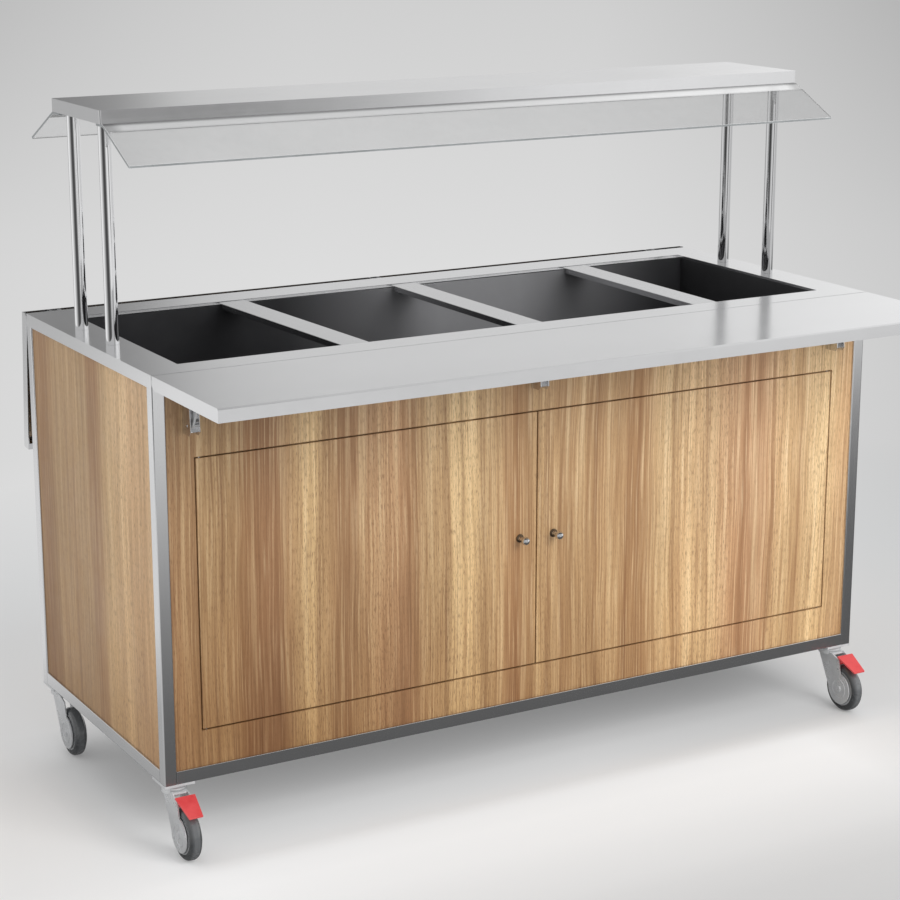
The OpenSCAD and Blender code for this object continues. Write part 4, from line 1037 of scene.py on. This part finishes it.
turn_about = maths(tree, "ARCTAN2", floor_x, product(tree, floor_y, -1.0))
walls_by_degrees = (
    (-180, 0.62), (-163, 0.48), (-152, 0.50), (-143, 0.98), (-125, 0.98), (-100, 0.60),
    (-72, 0.10), (-48, 0.06), (-34, 0.20), (-12, 0.95), (8, 0.85), (18, 0.20), (22, 0.23),
    (27, 0.50), (31, 0.90), (34, 1.0), (38, 1.0), (43, 0.80), (55, 0.66), (120, 0.80), (180, 0.62))
round_room = grey_ramp(tree, spread(tree, turn_about, -math.pi, math.pi),
                       [(degrees / 360 + 0.5, level) for degrees, level in walls_by_degrees])
room_edge = spread(tree, turn_about, -0.35, 0.17, 3.0, 6.0)
beyond = maths(tree, "SUBTRACT", length_of(tree, here(tree)), room_edge, clamp=True)
mirrored = blend_colour(tree, beyond, near_floor, round_room)
print("walls in", len(walls_by_degrees), "steps round the room")

# %% [markdown]
# Near the trolley the floor is plain paint, which takes the shadow. Further off, and in
# the lit strip, a glow takes over for what the camera sees directly or through glass.

# %% The floor's shader
rays = tree.nodes.new("ShaderNodeLightPath").outputs
away = length_of(tree, stretched(tree, here(tree), (0.75, 1.0, 1.0)))
cooler = blend_colour(tree, spread(tree, away, 0.9, 1.5), grey(1.0), (0.98, 1.0, 1.012, 1))
put(tree, stretched(tree, backdrop, cooler), shader["Base Color"])
glow_share = maths(tree, "MAXIMUM", spread(tree, away, 1.2, 2.4, 0.22, 1.0),
                   product(tree, in_front, 0.6))
clear_view = maths(tree, "MAXIMUM", rays["Is Camera Ray"], rays["Is Transmission Ray"])
in_mirror = maths(tree, "SUBTRACT", rays["Is Glossy Ray"], rays["Is Transmission Ray"], clamp=True)
glow = tree.nodes.new("ShaderNodeEmission")
put(tree, blend_colour(tree, in_mirror, backdrop, mirrored), glow.inputs["Color"])
mix = tree.nodes.new("ShaderNodeMixShader")
put(tree, maths(tree, "MAXIMUM", in_mirror, product(tree, clear_view, glow_share)), mix.inputs[0])
put(tree, tree.nodes["Principled BSDF"].outputs[0], mix.inputs[1])
put(tree, glow.outputs[0], mix.inputs[2])
put(tree, mix.outputs[0], tree.nodes["Material Output"].inputs["Surface"])
floor.data.materials.append(floor_paint)
print("floor ready,", len(tree.nodes), "nodes")

# %% [markdown]
# ## Light
# A pale sky all round gives most of the light, as the white walls of a studio do. Steel
# finds another sky, which is dark to the left, so that its faces differ in tone.

# %% World
world = bpy.data.worlds.new("studio")
bpy.context.scene.world = world
world.use_nodes = True
tree = world.node_tree
way = parts_of(tree, tree.nodes.new("ShaderNodeTexCoord").outputs["Generated"])
rays = tree.nodes.new("ShaderNodeLightPath").outputs
seen_sky = spread(tree, way["Z"], 0.0, 0.5, HORIZON, 0.8)
sky = spread(tree, way["X"], -0.8, 0.8, 0.84, 0.74)
sky = blend_colour(tree, rays["Is Camera Ray"], sky, seen_sky)
mirrored_sky = grey_ramp(tree, way["X"], [
    (0.0, 0.6), (0.25, 0.45), (0.335, 0.22), (0.362, 0.30), (0.39, 0.62), (0.43, 0.70),
    (0.56, 0.75), (0.61, 0.88), (0.66, 1.0)])
background = tree.nodes["Background"].inputs
put(tree, blend_colour(tree, rays["Is Glossy Ray"], sky, mirrored_sky), background["Color"])
background["Strength"].default_value = 1.0
print("sky ready,", len(tree.nodes), "nodes")

# %% [markdown]
# One large soft lamp from the front right lifts that end, as in the picture. It is left
# out of reflections, because no bright square shows in the steel.

# %% Lamp
light = bpy.data.lights.new("front_lamp", "AREA")
light.shape = "SQUARE"
light.size = 2.0
light.energy = 78.0
lamp = bpy.data.objects.new("front_lamp", light)
lamp.location = (0.9, -3.4, 2.3)
towards_doors = Vector((0.25, -0.2, 0.5)) - lamp.location
lamp.rotation_euler = towards_doors.to_track_quat("-Z", "Y").to_euler()
lamp.visible_glossy = False
bpy.context.scene.collection.objects.link(lamp)
print("lamp", light.energy, "watts,", light.size, "metres wide")

# %% [markdown]
# ## Camera
# The camera stands where the photograph's camera stood, found from thirty edges and
# corners.

# %% Camera
lens = bpy.data.cameras.new("camera")
lens.lens = 91.3
lens.sensor_width = 36.0
camera = bpy.data.objects.new("camera", lens)
camera.location = eye
camera.rotation_euler = (math.radians(75.37), 0.0, -turn_of_view)
bpy.context.scene.collection.objects.link(camera)
bpy.context.scene.camera = camera
bpy.context.scene.view_settings.view_transform = "Standard"
print("camera", round(lens.lens, 1), "mm at", [round(v, 3) for v in camera.location])
